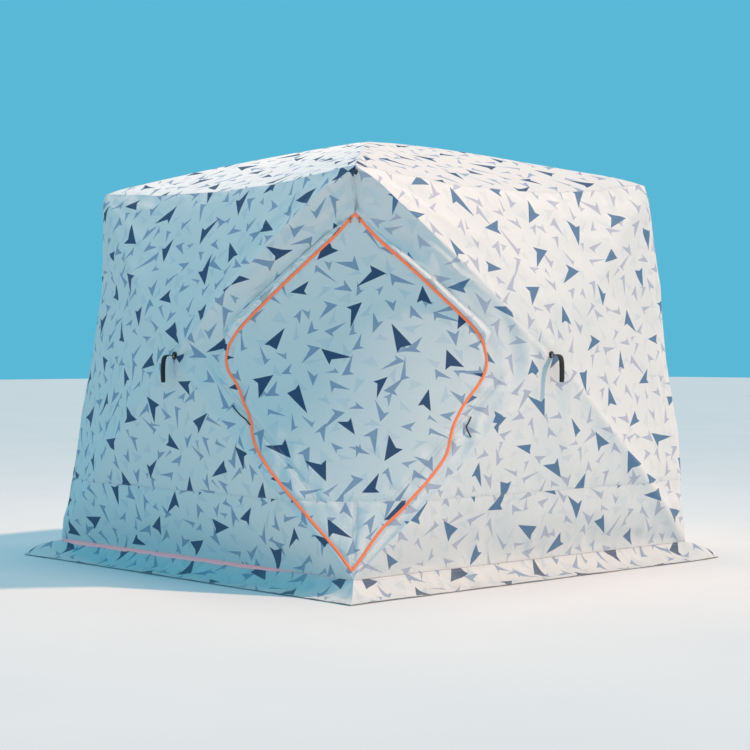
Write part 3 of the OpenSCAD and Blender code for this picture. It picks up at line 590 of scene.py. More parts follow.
def camouflage(name, white, seed, wear=1.0, ink=1.0, inks=deep_inks):
    """Woven polyester with printed darts in navy, steel blue and pale blue, and stitched seams. The
    seam layer holds the distances to a felled seam within the piece and to the piece's edge."""
    made, shader, place = finish(name)
    chart = place.node("UVMap", {"uv_map": "chart"})
    seam = place.node("UVMap", {"uv_map": "seam"})
    slant = chart.node("VectorRotate", {"rotation_type": "Z_AXIS"}, {"Vector": chart, "Angle": 0.47})

    def darts(colour, tone, cell, shift, luck, length, width, notch, strength):
        """One jittered lattice of darts: each has its own turn, size, width and notch."""
        q = slant.vector("ADD", slant, (shift[0] * cell + 7.3, shift[1] * cell + 5.9, 0))
        q = q.vector("DIVIDE", q, (cell, cell, 1))
        home = q.vector("FLOOR", q)
        one, two = (home.node("TexWhiteNoise", {"noise_dimensions": "3D"},
                              {0: home.vector("ADD", home, tuple(luck * step for step in steps))}, out=1)
                    for steps in ((1, 1.7, 0.3), (2.1, 1, 1.9)))
        away = q.vector("SUBTRACT", q.vector("FRACTION", q), (0.5, 0.5, 0))
        away = q.vector("SUBTRACT", away, q.vector("MULTIPLY_ADD", one, (0.2, 0.2, 0), (-0.1, -0.1, 0)))
        away = q.vector("MULTIPLY", away, (cell, cell, 0))
        spun = q.node("VectorRotate", {"rotation_type": "Z_AXIS"},
                      {"Vector": away, "Angle": one.split(2) * math.tau})
        x, y = spun.split(0), spun.split(1)
        size = length * (0.8 + 0.4 * two.split(0))
        deep = two.split(2)
        half = width * (0.5 + 0.2 * two.split(1) + 0.5 * deep)
        cut = notch[0] + (notch[1] - notch[0]) * deep
        upper = y > 0.0
        slim = half * (1.0 - 0.5 * upper)
        back = cut / half * (1.0 - 0.4 * upper)
        base = x + size * 0.5 - cut * size + back * abs(y) + 0.4 * y * (1.0 - deep)
        edge = (slim * (size * 0.5 - x) - abs(y)).least(base)
        return colour.over((edge * 900.0 + 0.5).clipped() * (strength * ink), (*tone, 1))

    mottle = place.noise(3.1, 3.0)
    dulled = (white[0] * 0.84, white[1] * 0.87, white[2] * 0.9, 1)
    colour = place.plain(white).over(mottle * 0.14 * wear, dulled)
    lattice, (navy, steel, pale) = 0.245, inks
    for tone, shift, luck, length, width, notch, strength in (
            (pale, (0.25, 0.25), 3.1, 0.085, 0.55, (0.1, 0.6), 0.55),
            (pale, (0.75, 0.75), 5.7, 0.095, 0.55, (0.3, 0.72), 0.65),
            (pale, (0.25, 0.75), 8.3, 0.075, 0.60, (0.0, 0.2), 0.4),
            (steel, (0.5, 0.0), 1.9, 0.118, 0.78, (0.5, 0.7), 0.92),
            (steel, (0.0, 0.5), 6.1, 0.100, 0.72, (0.45, 0.72), 0.88),
            (steel, (0.5, 0.5), 4.3, 0.108, 0.85, (0.55, 0.75), 0.9),
            (steel, (0.75, 0.25), 9.2, 0.070, 0.75, (0.4, 0.7), 0.8),
            (navy, (0.0, 0.0), 2.7, 0.128, 0.60, (0.1, 0.5), 0.98)):
        colour = darts(colour, tone, lattice, shift, luck + seed, length, width, notch, strength)
    cloud = chart.noise(11.0, 3.0)
    crinkle = place.noise(24.0, 4.0, rough=0.62)
    grime = ((0.3 - place.split(2)) * 3.0).clipped() * cloud * 0.3 * wear
    colour = colour.over(grime, (0.46, 0.45, 0.43, 1))
    stitch_l, hem_row, felled_row, fell_w, fell_edge = 0.0022, 0.0075, 0.0062, 0.0094, 0.0102
    line, off = abs(seam.split(0)), seam.split(1)
    along = chart.split(0) * 0.8 + chart.split(1) * 0.6
    stitch = (along.math("PINGPONG", along, stitch_l) * 900.0 - 0.5).clipped()
    groove = (1.0 - abs(off - hem_row) * 700.0).clipped() + (1.0 - abs(line - felled_row) * 700.0).clipped()
    felled = ((fell_w - line) * 900.0).clipped()
    # Painted shadow: a blue-grey line along the edge of a felled seam and along the piece's own edge, where the seam's
    # step casts shade.
    seam_edge_shadow = (1.0 - abs(line - fell_edge) * 420.0).clipped() + (1.0 - off * 320.0).clipped()
    colour = colour.over(stitch * groove * 0.5, (white[0] * 0.7, white[1] * 0.7, white[2] * 0.73, 1))
    colour = colour.over(seam_edge_shadow.clipped() * 0.34, (0.34, 0.38, 0.44, 1))
    drawn = (1.0 - off * 16.0).clipped() + (1.0 - line * 22.0).clipped()
    rumple = abs(place.noise(46.0, 3.0, rough=0.6) - 0.5)
    warp = chart.math("SINE", chart.split(0) * 5200.0)
    weft = chart.math("SINE", chart.split(1) * 5200.0)
    height = crinkle + warp * weft * 0.04 + stitch * groove * 0.3 - groove * 0.3 + felled * 0.4
    height = height - drawn * rumple * 2.2
    feed(shader, Base_Color=colour, Roughness=0.6 + 0.18 * mottle, Normal=bumped(height, 0.0022),
         Sheen_Weight=0.1, Sheen_Roughness=0.5, Specular_IOR_Level=0.3)
    return made


# FAR stands for a felled seam that isn't there. On a wall, distances from a seam or a pole are
# counted in rows or columns, and taken to metres with their mean widths.
WHITE = (0.80, 0.80, 0.79)
FAR = 0.5
row_up, row_down, column_w, pole_gap = 0.072, 0.082, 0.0975, 0.063
wall_cloth = camouflage("printed wall cloth", WHITE, 0.0)
rows = np.linspace(-RINGS, RINGS, 2 * RINGS * FINE + 1)
SPAN, STEP = len(rows), 1 / FINE
LEVEL = (RINGS - SEAM_RING) * FINE
i_grid, j_grid = np.meshgrid(rows, rows, indexing="ij")
to_top, to_foot = (RINGS - i_grid) * row_up, (i_grid + RINGS) * row_down
to_side, to_level = (RINGS - abs(j_grid)) * column_w, abs(i_grid + SEAM_RING) * row_down
to_sewn = np.minimum(np.minimum(to_top, to_foot), np.minimum(to_side, to_level))
rim = (abs(i_grid) > RINGS - 1e-6) | (abs(j_grid) > RINGS - 1e-6)
wall_round = relaxed(wall_pt(i_grid, j_grid), 2, rim)
wall_out = grid_normals(wall_round)
wall_local = wall_round.reshape(-1, 3)


def pulls(p, centres, seed, reach, height, spokes):
    """Folds that fan out from the points where the cloth is held, and die away."""
    total = 0
    for k, (centre, way) in enumerate(centres):
        d = p - np.asarray(centre)
        r = norm(d)
        way = unit(np.asarray(way))
        turn = np.arctan2(d @ np.cross(way, FRONT_OUT), d @ way)
        fan = xyz(turn * spokes, k * 3.7, r * 1.2)
        total = total + height * crease(fan, 1.3, seed + k) * smooth01(r / 0.12) * np.exp(-r / reach)
    return total


def crest(high, low, spread):
    """A sharp crest of the cloth over the pole towards the door and the one down to the outer corner."""
    window = smooth01(abs(i_grid) / 3) * smooth01((RINGS - abs(i_grid)) / 2)
    return np.where(i_grid > 0, high, low) * window * np.exp(-abs(i_grid + j_grid) * pole_gap / spread)


def wall_depth(seed, gathered=0.0):
    """How far the cloth of a wall stands out of its smooth shape; gathered is the depth of the fine
    upright folds beside its outer corner."""
    p = wall_round
    to_pole = abs(abs(i_grid) - abs(j_grid)) * pole_gap
    x, z = p[..., 0], p[..., 2]
    level, upright = xyz(x * 3.2, z * 0.6, 0), xyz(x * 0.6, z * 3.2, 0)
    depth = puckers(0.0042, to_top, 0.05, level, 0.26, seed)
    depth += puckers(0.0032, to_level, 0.03, level, 0.17, seed + 1)
    depth += puckers(0.0036, to_side, 0.04, upright, 0.24, seed + 2)
    depth += puckers(0.0042, to_foot, 0.05, level, 0.3, seed + 4)
    loose = smooth01(to_sewn / 0.12)
    depth += 0.0095 * ripple(p * [1, 1, 0.55], 0.27, seed + 6) * loose
    depth += 0.0042 * crease(p, 0.17, seed + 7) * loose
    depth -= 0.014 * seam_dent(to_foot, 0.07)
    depth += puckers(gathered, (RINGS - j_grid) * column_w, 0.06, xyz(x, z * 0.22, 0), 0.055, seed + 9)
    corners = [((s * top_half, -top_half, eave_h), (-s, 0, -1)) for s in (1, -1)]
    corners += [((s * base_half, -base_half, base_lift), (-s, 0, 1)) for s in (1, -1)]
    depth += pulls(p, corners, seed + 8, 0.46, 0.011, 7.0) * loose
    depth += pulls(p, [(wall_hub, (0, 0, -1))], seed + 20, 0.26, 0.0065, 5.0) * loose
    return np.maximum(depth, -0.001 - 0.05 * np.maximum(to_pole - 0.012, 0))


def wall_layers(quads, shift, sign):
    """The chart and seam layers of wall faces, which have no felled seam of their own."""
    chart = [[(sign * wall_local[k, 0] + shift[0], sign * wall_local[k, 2] * 1.06 + shift[1]) for k in q]
             for q in quads]
    return chart, [[(FAR, to_sewn.flat[k]) for k in q] for q in quads]


# Each panel's rows, the shift of its print and the way that runs.
PANELS = (("lower", 0, LEVEL, (3.1, 1.7), -1), ("upper", LEVEL, SPAN - 1, (0.4, 0.9), 1))
FLAT = {"lower": (2.40, 0.36), "upper": (2.46, 1.62)}
for side, seed in (("back_right", 11), ("back_left", 23)):
    world = settle(on_side(side, wall_round + wall_out * wall_depth(seed)[..., None])).reshape(-1, 3)
    inward = on_side(side, -wall_out).reshape(-1, 3)
    for part, row0, row1, (right_by, up_by), sign in PANELS:
        quads = list(cells(row0, row1, SPAN - 1))
        chart, seam = wall_layers(quads, (right_by + seed, up_by), sign)
        node = f"{side}_wall_{part}"
        cloth = sewn(node + "_cloth", world, inward, quads, chart, seam, wall_cloth, "wall_cloth", node)
        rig.sheet(cloth, flat=FLAT[part], held="stretched", area=sheet_area(wall_local, quads),
                 rests_on=[f"{side}_poles"])

# Front walls. The two walls beside the door run on round the corner, over the poles, and end
# at the door's zip; there the cloth spans four poles in a saddle, crumpled along the zip.

BAND = 24
# This copy of the wall cloth, with the paler inks, goes on the sunlit right wall. It is painted light: a lit copy of
# the cloth on the shaded left wall.
sunny_cloth = camouflage("printed wall cloth on the sunny side", WHITE, 0.0, inks=sunlit_copy_inks)
front_top, front_foot = eave_corner * [-1, 1, 1], base_corner * [-1, 1, 1]
right_hub, left_hub = np.array([0, -hub_reach, hub_h]), np.array([-hub_reach, 0, hub_h])
bow_tr, bow_rb = bow_way(right_hub, front_top, FRONT_OUT), bow_way(right_hub, front_foot, FRONT_OUT)
bow_tl, bow_lb = bow_way(left_hub, front_top, SIDE_OUT), bow_way(left_hub, front_foot, SIDE_OUT)


def saddle(u, v):
    """The cloth between the four front poles; u runs to the right hub, v to the left one."""
    u, v = np.asarray(u, float)[..., None], np.asarray(v, float)[..., None]
    bu, bv = 4 * wall_bow * u * (1 - u), 4 * wall_bow * v * (1 - v)
    flat = (1 - v) * between(front_top, right_hub, u[..., 0]) + v * between(left_hub, front_foot, u[..., 0])
    return flat + bu * ((1 - v) * bow_tr + v * bow_lb) + bv * ((1 - u) * bow_tl + u * bow_rb)


def saddle_out(u, v):
    """The direction out of the saddle."""
    e = 0.01
    return unit(np.cross(saddle(u, v + e) - saddle(u, v - e), saddle(u + e, v) - saddle(u - e, v)))


half_chord = hub_reach / ROOT2
twist = eave_h + base_lift - 2 * hub_h


def shares(p, z):
    """Where a point p to the right of the corner's line and z up lies on the saddle, whose height is
    quadratic in u + v."""
    d = p / half_chord
    fall, run = eave_h - z - twist * d * d / 4, eave_h - hub_h
    s = 2 * fall / (run + np.sqrt(run * run - twist * fall))
    return (s + d) / 2, (s - d) / 2


LAST = RINGS - 1
door_top, door_foot, door_half, door_side_h, door_off = 1.704, 0.122, 0.592, 1.05, 0.02
shoulder_p, waist_p, waist_h, lower_margin, round_h = 0.47, 0.44, 0.73, 0.065, 0.08
SHOULDER_RING, WAIST_RING = 6, 4
upper_slope, lower_slope = (eave_h - hub_h) / half_chord, (hub_h - base_lift) / half_chord
shoulder = np.array([shoulder_p, door_top - shoulder_p * upper_slope])
side_pt, waist = np.array([door_half, door_side_h]), np.array([waist_p, waist_h])
knee = np.array([(seam_h - base_lift) / lower_slope - lower_margin, seam_h])
waist_way, knee_way = np.array([0.025, 0.1]), np.array([0.095, 0.095 * lower_slope])


def curve(a, b, c, d, t):
    """A Bezier curve from a to d, which leaves towards b and arrives from c."""
    t = np.asarray(t, float)[..., None]
    r = 1 - t
    return r ** 3 * a + 3 * r * r * t * b + 3 * r * t * t * c + t ** 3 * d


def zip_base(i):
    """The right half of the zip's outline at rings i, as distance from the corner's line and height."""
    i = np.asarray(i, float)
    round_way = np.array([0, round_h])
    straight = between(np.array([0, door_top]), shoulder, (LAST - i) / (LAST - SHOULDER_RING))
    bend = curve(shoulder, shoulder + [round_h, -round_h * upper_slope], side_pt + round_way, side_pt,
                 1 - i / SHOULDER_RING)
    hip = curve(side_pt, side_pt - round_way, waist + waist_way, waist, -i / WAIST_RING)
    thigh = curve(waist, waist - waist_way, knee + knee_way, knee,
                  (-i - WAIST_RING) / (SEAM_RING - WAIST_RING))
    shin = between(knee, np.array([0, door_foot]), (-i - SEAM_RING) / (LAST - SEAM_RING))
    pick = [i >= SHOULDER_RING, i >= 0, -i <= WAIST_RING, -i <= SEAM_RING]
    return np.select([c[..., None] for c in pick], [straight, bend, hip, thigh], shin)


# Height on the zip's line, and how far the slack cloth pulls it outward there, below zero inward.
right_pull = ((0.122, -0.008), (0.29, -0.026), (0.4, -0.005), (0.6, 0.006), (0.72, -0.011), (0.82, -0.007),
              (0.96, 0.012), (1.09, -0.002), (1.41, -0.013), (1.6, -0.024), (1.704, -0.008))
left_pull = ((0.122, 0.008), (0.2, 0.001), (0.45, 0.0135), (0.65, 0.024), (0.82, 0.006), (0.93, -0.011),
             (1.0, 0), (1.2, -0.012), (1.6, -0.01), (1.704, 0.008))
tip_shift, zip_gap = -0.008, 0.002


def pulled_out(side, z):
    """The pull on a side of the zip at a height, eased between the listed ones."""
    heights, pulls_out = zip(*(right_pull if side > 0 else left_pull))
    at = np.interp(z, heights, range(len(heights)))
    at = np.floor(at) + smooth01(at - np.floor(at))
    return np.interp(at, range(len(heights)), pulls_out)


def zip_pt(i, side, off):
    """A point of the zip's line, drawn out by off; side is 1 on the right and -1 on the left."""
    i = np.asarray(i, float)
    b = zip_base(i)
    d = unit(zip_base(np.minimum(i, LAST) - 0.05) - zip_base(np.maximum(i, -LAST) + 0.05))
    q = b + np.stack([-d[..., 1] * off, d[..., 0] * off], -1)
    tip = abs(i) > LAST - 1e-6
    q = np.where(tip[..., None], b + np.stack([i * 0, np.sign(i) * ROOT2 * off], -1), q)
    p, z = q[..., 0], q[..., 1]
    return side * (p * (1 - side * door_off / door_half) + pulled_out(side, z)), z


# A straight seam runs parallel to the lower poles, crosses the zip at the waist and ends at the
# level seam inside the door.
diamond_foot, diamond_end = 0.238, 0.93


def to_diamond(p, z):
    """Distance from the straight seam, in metres, above zero on its upper side."""
    off = (z - diamond_foot - lower_slope * abs(p)) / math.hypot(1, lower_slope)
    return off + np.where(off < 0, -1, 1) * (np.maximum(z - diamond_end, 0) + np.maximum(seam_h - z, 0))


def trimmed(q):
    """What is left of a wall's cell where the two poles towards the door end the flat wall: a cell
    on a pole keeps half, one beyond it nothing."""
    i, j = rows[q[0] // SPAN] + STEP / 2, rows[q[0] % SPAN] + STEP / 2
    if j < 0 and abs(abs(j) - abs(i)) < STEP / 2:
        return q[1:] if i > 0 else q[:3]
    return q if j > -abs(i) else None


def run_along(line):
    """The length run so far at each point of a line."""
    return np.cumsum(norm(np.diff(line, axis=0, prepend=line[:1])))


crest_w, crest_band_w = 0.05, 0.09
for side, hand, seed in (("right", 1, 31), ("left", -1, 47)):
    mirrored = hand < 0
    inner = np.clip(rows, -LAST, LAST)
    p, z = zip_pt(inner, hand, zip_gap)
    beyond = np.clip(abs(rows) - LAST, 0, 1)
    z = z + (np.where(rows > 0, eave_h, base_lift) - z) * beyond
    wave = hand * 0.007 * np.sin(26 * z) * np.sin(math.pi * beyond) * (rows > 0)
    shift = hand * tip_shift * (1 - beyond)
    eu, ev = shares(np.where(abs(rows) > LAST - 1e-6, 0.0002 + wave + shift, hand * p), z)
    t = ring_share(rows)
    pu, pv = np.where(rows >= 0, 1 - t, 1.0), np.where(rows >= 0, 0.0, t)
    c = np.linspace(0, 1, BAND + 1)
    u, v = pu[:, None] + (eu - pu)[:, None] * c, pv[:, None] + (ev - pv)[:, None] * c
    band, band_in = saddle(u, v), -saddle_out(u, v)
    pole_col = np.array([np.argmin(abs(rows + abs(i))) for i in rows])
    at_pole = np.arange(SPAN), pole_col
    depth = wall_depth(seed, 0.009 if side == "right" else 0.004)
    crest_h, crest_low = (0.005, 0.016) if side == "right" else (0.027, 0.008)
    to_zip, to_pole = norm(band - band[:, -1:]), norm(band - band[:, :1])
    near_pole = 1 - smooth01(to_pole / np.clip(to_pole[:, -1:], 0.001, 0.07))
    track = xyz(run_along(band[:, -1])[:, None], to_zip, 0)
    across = (band[..., 0] - band[..., 1]) / ROOT2
    free = np.minimum(smooth01(to_zip / 0.03), smooth01(to_pole / 0.04))
    folds = 0.0075 * crease(track * [0.22, 1, 1], 0.07, seed + 1) + 0.005 * crease(track, 0.10, seed + 2)
    folds += puckers(0.0045, to_zip, 0.03, track * [1, 0.4, 1], 0.06, seed + 3)
    if side == "left":
        upper = smooth01((band[..., 2] - 0.85) / 0.25)
        folds *= 0.3 + 0.7 * upper
        folds -= 0.020 * upper * seam_dent(to_zip, 0.05)
        folds += puckers(0.011 * upper, to_zip, 0.025, track * [1, 1.3, 1], 0.05, seed + 7)
    else:
        folds += 0.001 * seam_dent(to_pole, 0.03) - 0.007 * seam_dent(to_zip, 0.04)
    sewn_line = to_diamond(across, band[..., 2])
    folds += puckers(0.005, abs(sewn_line), 0.02, track * [1, 0.4, 1], 0.08, seed + 4)
    folds -= 0.002 * bell(sewn_line, 0.012)
    corner_seam = abs(across) + np.maximum(door_top - band[..., 2], 0)
    gather = xyz(across * 0.5, band[..., 2], 0)
    folds += puckers(0.006, corner_seam, 0.022, gather, 0.05, seed + 6) * (rows > 0)[:, None]
    folds = folds * free + depth[at_pole][:, None] * near_pole
    crested = crest(crest_h, crest_low, crest_w)
    folds += crested[at_pole][:, None] * np.exp(-to_pole / crest_band_w) * smooth01(to_zip / 0.03)
    wall_world = wall_round + wall_out * (depth + crested)[..., None]
    band_world = band - band_in * folds[..., None]
    band_world += (wall_world[at_pole] - band_world[:, 0])[:, None] * near_pole[..., None]
    world = np.concatenate([wall_world.reshape(-1, 3), band_world.reshape(-1, 3)])
    inward = np.concatenate([-wall_out.reshape(-1, 3), band_in.reshape(-1, 3)])
    smooth_world = np.concatenate([wall_local, band.reshape(-1, 3)])
    world, inward = settle(on_side(side, world)), on_side(side, inward)

    def band_number(a, c):
        """The number of a band's point in world; the first column is the wall's own, on the pole."""
        return a * SPAN + pole_col[a] if c == 0 else SPAN * SPAN + a * (BAND + 1) + c

    for part, row0, row1, (right_by, up_by), sign in PANELS:
        quads = list(filter(None, map(trimmed, cells(row0, row1, SPAN - 1))))
        chart, seam = wall_layers(quads, (right_by + seed, up_by), sign)
        for a in range(row0, row1):
            for c in range(BAND):
                corners = [(a + 1, c), (a + 1, c + 1), (a, c + 1), (a, c)]
                quads.append([band_number(*at) for at in corners])
                chart.append([(sign * across[at] + right_by + seed * 0.7, sign * band[at][2] * 1.08 + up_by)
                              for at in corners])
                seam.append([(sewn_line[at], to_zip[at]) for at in corners])
        node = f"{side}_wall_{part}"
        cloth = sewn(node + "_cloth", world, inward, quads, chart, seam,
                     wall_cloth if mirrored else sunny_cloth, "wall_cloth", node, mirrored=mirrored)
        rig.sheet(cloth, flat=FLAT[part], held="stretched", area=sheet_area(smooth_world, quads),
                 rests_on=[f"{side}_poles"])

# Door. One diamond of the same cloth across the corner, in an upper and a lower panel, zipped
# in all round; the lower panel has a seam down its middle.

DOOR_COLS = 96
door_cloth = camouflage("printed door cloth", WHITE, 13.0)
door_rows = np.linspace(-LAST, LAST, 2 * LAST * FINE + 1)
door_level = (LAST - SEAM_RING) * FINE
(lp, lz), (rp, rz) = zip_pt(door_rows, -1, -zip_gap), zip_pt(door_rows, 1, -zip_gap)
(lu, lv), (ru, rv) = shares(lp, lz), shares(rp, rz)
share = np.linspace(0, 1, DOOR_COLS + 1)
door_u, door_v = lu[:, None] + (ru - lu)[:, None] * share, lv[:, None] + (rv - lv)[:, None] * share
door, door_in = saddle(door_u, door_v), -saddle_out(door_u, door_v)
across, high = (door[..., 0] - door[..., 1]) / ROOT2, door[..., 2]
to_edge = np.minimum(norm(door - door[:, :1]), norm(door - door[:, -1:]))
middle = abs(across) + np.maximum(high - seam_h, 0)
diamond = to_diamond(across, high)
lines = np.minimum(np.minimum(abs(high - seam_h), middle), abs(diamond))
free = smooth01(to_edge / 0.03)
depth = 0.0035 * smooth01(to_edge / 0.14) * ripple(door * [1, 1, 0.6], 0.34, 61)
depth += puckers(0.0045, to_edge, 0.03, door, 0.085, 63)
depth += free * (puckers(0.005, lines, 0.022, door, 0.09, 64) - 0.003 * bell(lines, 0.012))
depth += 0.006 * smooth01((seam_h + 0.03 - high) / 0.1) * free * crease(door * [1, 1, 0.45], 0.085, 66)
door_world = settle(door - door_in * depth[..., None]).reshape(-1, 3)
for part, row0, row1, shift, sign, flat in (("lower", 0, door_level, 7.7, -1, (0.48, 0.31)),
                                            ("upper", door_level, len(door_rows) - 1, 5.2, 1, (1.19, 1.32))):
    quads = list(cells(row0, row1, DOOR_COLS))
    if part == "lower":
        quads[:DOOR_COLS] = [[0, q[2], q[3]] for q in quads[:DOOR_COLS]]
    else:
        quads[-DOOR_COLS:] = [[q[0], q[1], quads[-DOOR_COLS][3]] for q in quads[-DOOR_COLS:]]
    chart = [[(sign * across.flat[k] + shift, sign * high.flat[k] * 1.08 + shift) for k in q] for q in quads]
    inner = diamond if part == "upper" else across
    seam = [[(inner.flat[k], min(to_edge.flat[k], abs(high.flat[k] - seam_h))) for k in q] for q in quads]
    node = f"door_{part}_panel"
    cloth = sewn(node + "_cloth", door_world, door_in.reshape(-1, 3), quads, chart, seam, door_cloth,
                 "door_cloth", node)
    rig.sheet(cloth, flat=flat, held="stretched", area=sheet_area(door.reshape(-1, 3), quads),
             rests_on=["door_zip_tape"])

# Zip. A coil zip of fluorescent orange runs all round the door: two woven tapes sewn to the
# cloth, and the spiral coil between them.


def dyed(name, tone, rough=0.7, weave=2400.0, painted_glow=None, depth=0.0003):
    """Plain dyed webbing or tape with its weave; its glow is painted light, an emission that keeps the dye bright
    whatever light falls on it.
    """
    made, shader, place = finish(name)
    tint = place.plain(tone).over(place.noise(30.0, 3.0) * 0.35, (*(0.72 * part for part in tone), 1))
    threads = place.node("TexVoronoi", {}, {"Vector": place, "Scale": weave})
    feed(shader, Base_Color=tint, Roughness=rough, Specular_IOR_Level=0.35, Normal=bumped(threads, depth))
    if painted_glow:
        feed(shader, Emission_Color=(*painted_glow, 1), Emission_Strength=1.0)
    return made


def swept(name, path, across, out, profile, material, slot, *cad, closed=False, bend=50):
    """A profile of (across, out) points, counter-clockwise about the path, carried along it."""
    profile = np.asarray(profile, float)
    points = path[:, None] + profile[:, :1] * across[:, None] + profile[:, 1:] * out[:, None]
    n, m = points.shape[:2]
    faces = [[a * m + b, a * m + (b + 1) % m, (a + 1) % n * m + (b + 1) % m, (a + 1) % n * m + b]
             for a in range(n if closed else n - 1) for b in range(m)]
    if not closed:
        faces += [list(range(m))[::-1], [(n - 1) * m + b for b in range(m)]]
    return built(name, points.reshape(-1, 3), faces, {}, material, slot, *cad, bend=bend)


def ring(radius, sides):
    """The round profile of a cord."""
    return [(radius * math.cos(a), radius * math.sin(a)) for a in np.linspace(0, math.tau, sides + 1)[:-1]]


def on_saddle(p, z, lift=0.0):
    """Settled points of the saddle at (p, z), raised by lift, and the directions out of it."""
    u, v = shares(np.asarray(p, float), np.asarray(z, float))
    out = saddle_out(u, v)
    return settle(saddle(u, v)) + out * lift, out


# Zip tape and coil get a glow. It is painted light: an emission that keeps the orange brighter than the light on it
# would make it.
orange, painted_glow = (0.86, 0.225, 0.09), (0.34, 0.06, 0.025)
tape_half, coil_half, coil_h, tape_t, tape_lift, ZIP_LONG = 0.0065, 0.003, 0.0022, 0.0009, 0.0016, 460
down_rows = np.linspace(LAST, -LAST, ZIP_LONG)
loop = [np.concatenate(pair) for pair in zip(zip_pt(down_rows, 1, 0), zip_pt(down_rows[::-1][1:-1], -1, 0))]
zip_at, zip_out = on_saddle(*loop, tape_lift)
zip_way = unit(np.roll(zip_at, -2, axis=0) - np.roll(zip_at, 2, axis=0))
zip_across = unit(np.cross(zip_way, zip_out))
zip_wave = 0.0012 * ripple(xyz(run_along(zip_at), 0, 0), 0.06, 3)
zip_at = zip_at + zip_out * abs(zip_wave)[:, None]
tape_shape = [(-tape_half, 0), (-tape_half, tape_t), (tape_half, tape_t), (tape_half, 0)]
coil_shape = [(coil_half * math.cos(a), tape_t + coil_h * math.sin(a)) for a in np.linspace(math.pi, 0, 9)]
swept("door_zip_tape", zip_at, zip_across, zip_out, tape_shape,
      dyed("zip tape", orange, painted_glow=painted_glow, weave=1500.0), "zip_tape", "door_zip", closed=True)
swept("door_zip_coil", zip_at, zip_across, zip_out, coil_shape,
      dyed("zip coil", (0.90, 0.24, 0.09), rough=0.4, weave=900.0, painted_glow=painted_glow, depth=0.0006),
      "zip_tape", "door_zip", closed=True)

# Sliders. Two cast sliders, lacquered like the zip, meet at the door's top point; each has two
# plates on a post and a short pull.

slider_metal, shader, place = finish("lacquered slider")
worn = rubbed(place.noise(300.0, 3.0), 0.54, 8.0)
lacquer = place.plain((0.78, 0.15, 0.05)).over(worn, (0.45, 0.42, 0.40, 1))
feed(shader, Base_Color=lacquer, Metallic=worn * 0.8, Roughness=0.3 + 0.25 * place.noise(400.0, 3.0),
     Normal=bumped(place.noise(1500.0), 0.0001))
slider_l, slider_w, plate_t, pull_l = 0.016, 0.013, 0.0014, 0.018


def blocks(name, frame_at, parts, material, slot, *cad, bevel=0.0006):
    """Bevelled boxes in one piece; each is (middle, size) in the frame's own axes."""
    held = bmesh.new()
    for middle, size in parts:
        made = bmesh.ops.create_cube(held, size=1.0)
        bmesh.ops.scale(held, vec=size, verts=made["verts"])
        bmesh.ops.translate(held, vec=middle, verts=made["verts"])
    bmesh.ops.bevel(held, geom=held.edges[:], offset=bevel, segments=2, profile=0.5, affect="EDGES")
    held.transform(frame_at)
    points, faces = [v.co[:] for v in held.verts], [[v.index for v in f.verts] for f in held.faces]
    held.free()
    return built(name, points, faces, {}, material, slot, *cad)


def frame_of(at, x, z):
    """A matrix whose X runs along x and whose Z runs along z, at a place."""
    x = unit(x - (x @ z) * z)
    y = np.cross(z, x)
    return Matrix([[x[r], y[r], z[r], at[r]] for r in range(3)] + [[0, 0, 0, 1]])


plate_lift = 0.0042
for side, hand in (("right", 1), ("left", -1)):
    p, z = zip_pt(LAST - 0.22, hand, 0)
    at, out = on_saddle(p, z, plate_lift)
    under, _ = on_saddle(*zip_pt(LAST - 0.5, hand, 0), plate_lift)
    post = slider_l * 0.3
    blocks(f"slider_{side}", frame_of(at, under - at, out),
           [((0, 0, 0), (slider_l, slider_w, plate_t)),
            ((0, 0, 0.0034), (slider_l * 0.9, slider_w * 0.9, plate_t)),
            ((-post, 0, 0.0017), (0.003, 0.003, 0.0034)), ((0, 0, 0.0056), (slider_l * 0.55, 0.0024, 0.003))],
           slider_metal, "zip_metal", "zip_sliders")
    hang, _ = on_saddle(p, z - 0.01, 0.006)
    blocks(f"slider_pull_{side}", frame_of(at + out * 0.0052, hang - at, out),
           [((pull_l * 0.5, 0, 0), (pull_l, 0.0045, 0.0016)),
            ((pull_l * 0.9, 0, 0), (pull_l * 0.35, 0.007, 0.002))],
           slider_metal, "zip_metal", "zip_sliders")
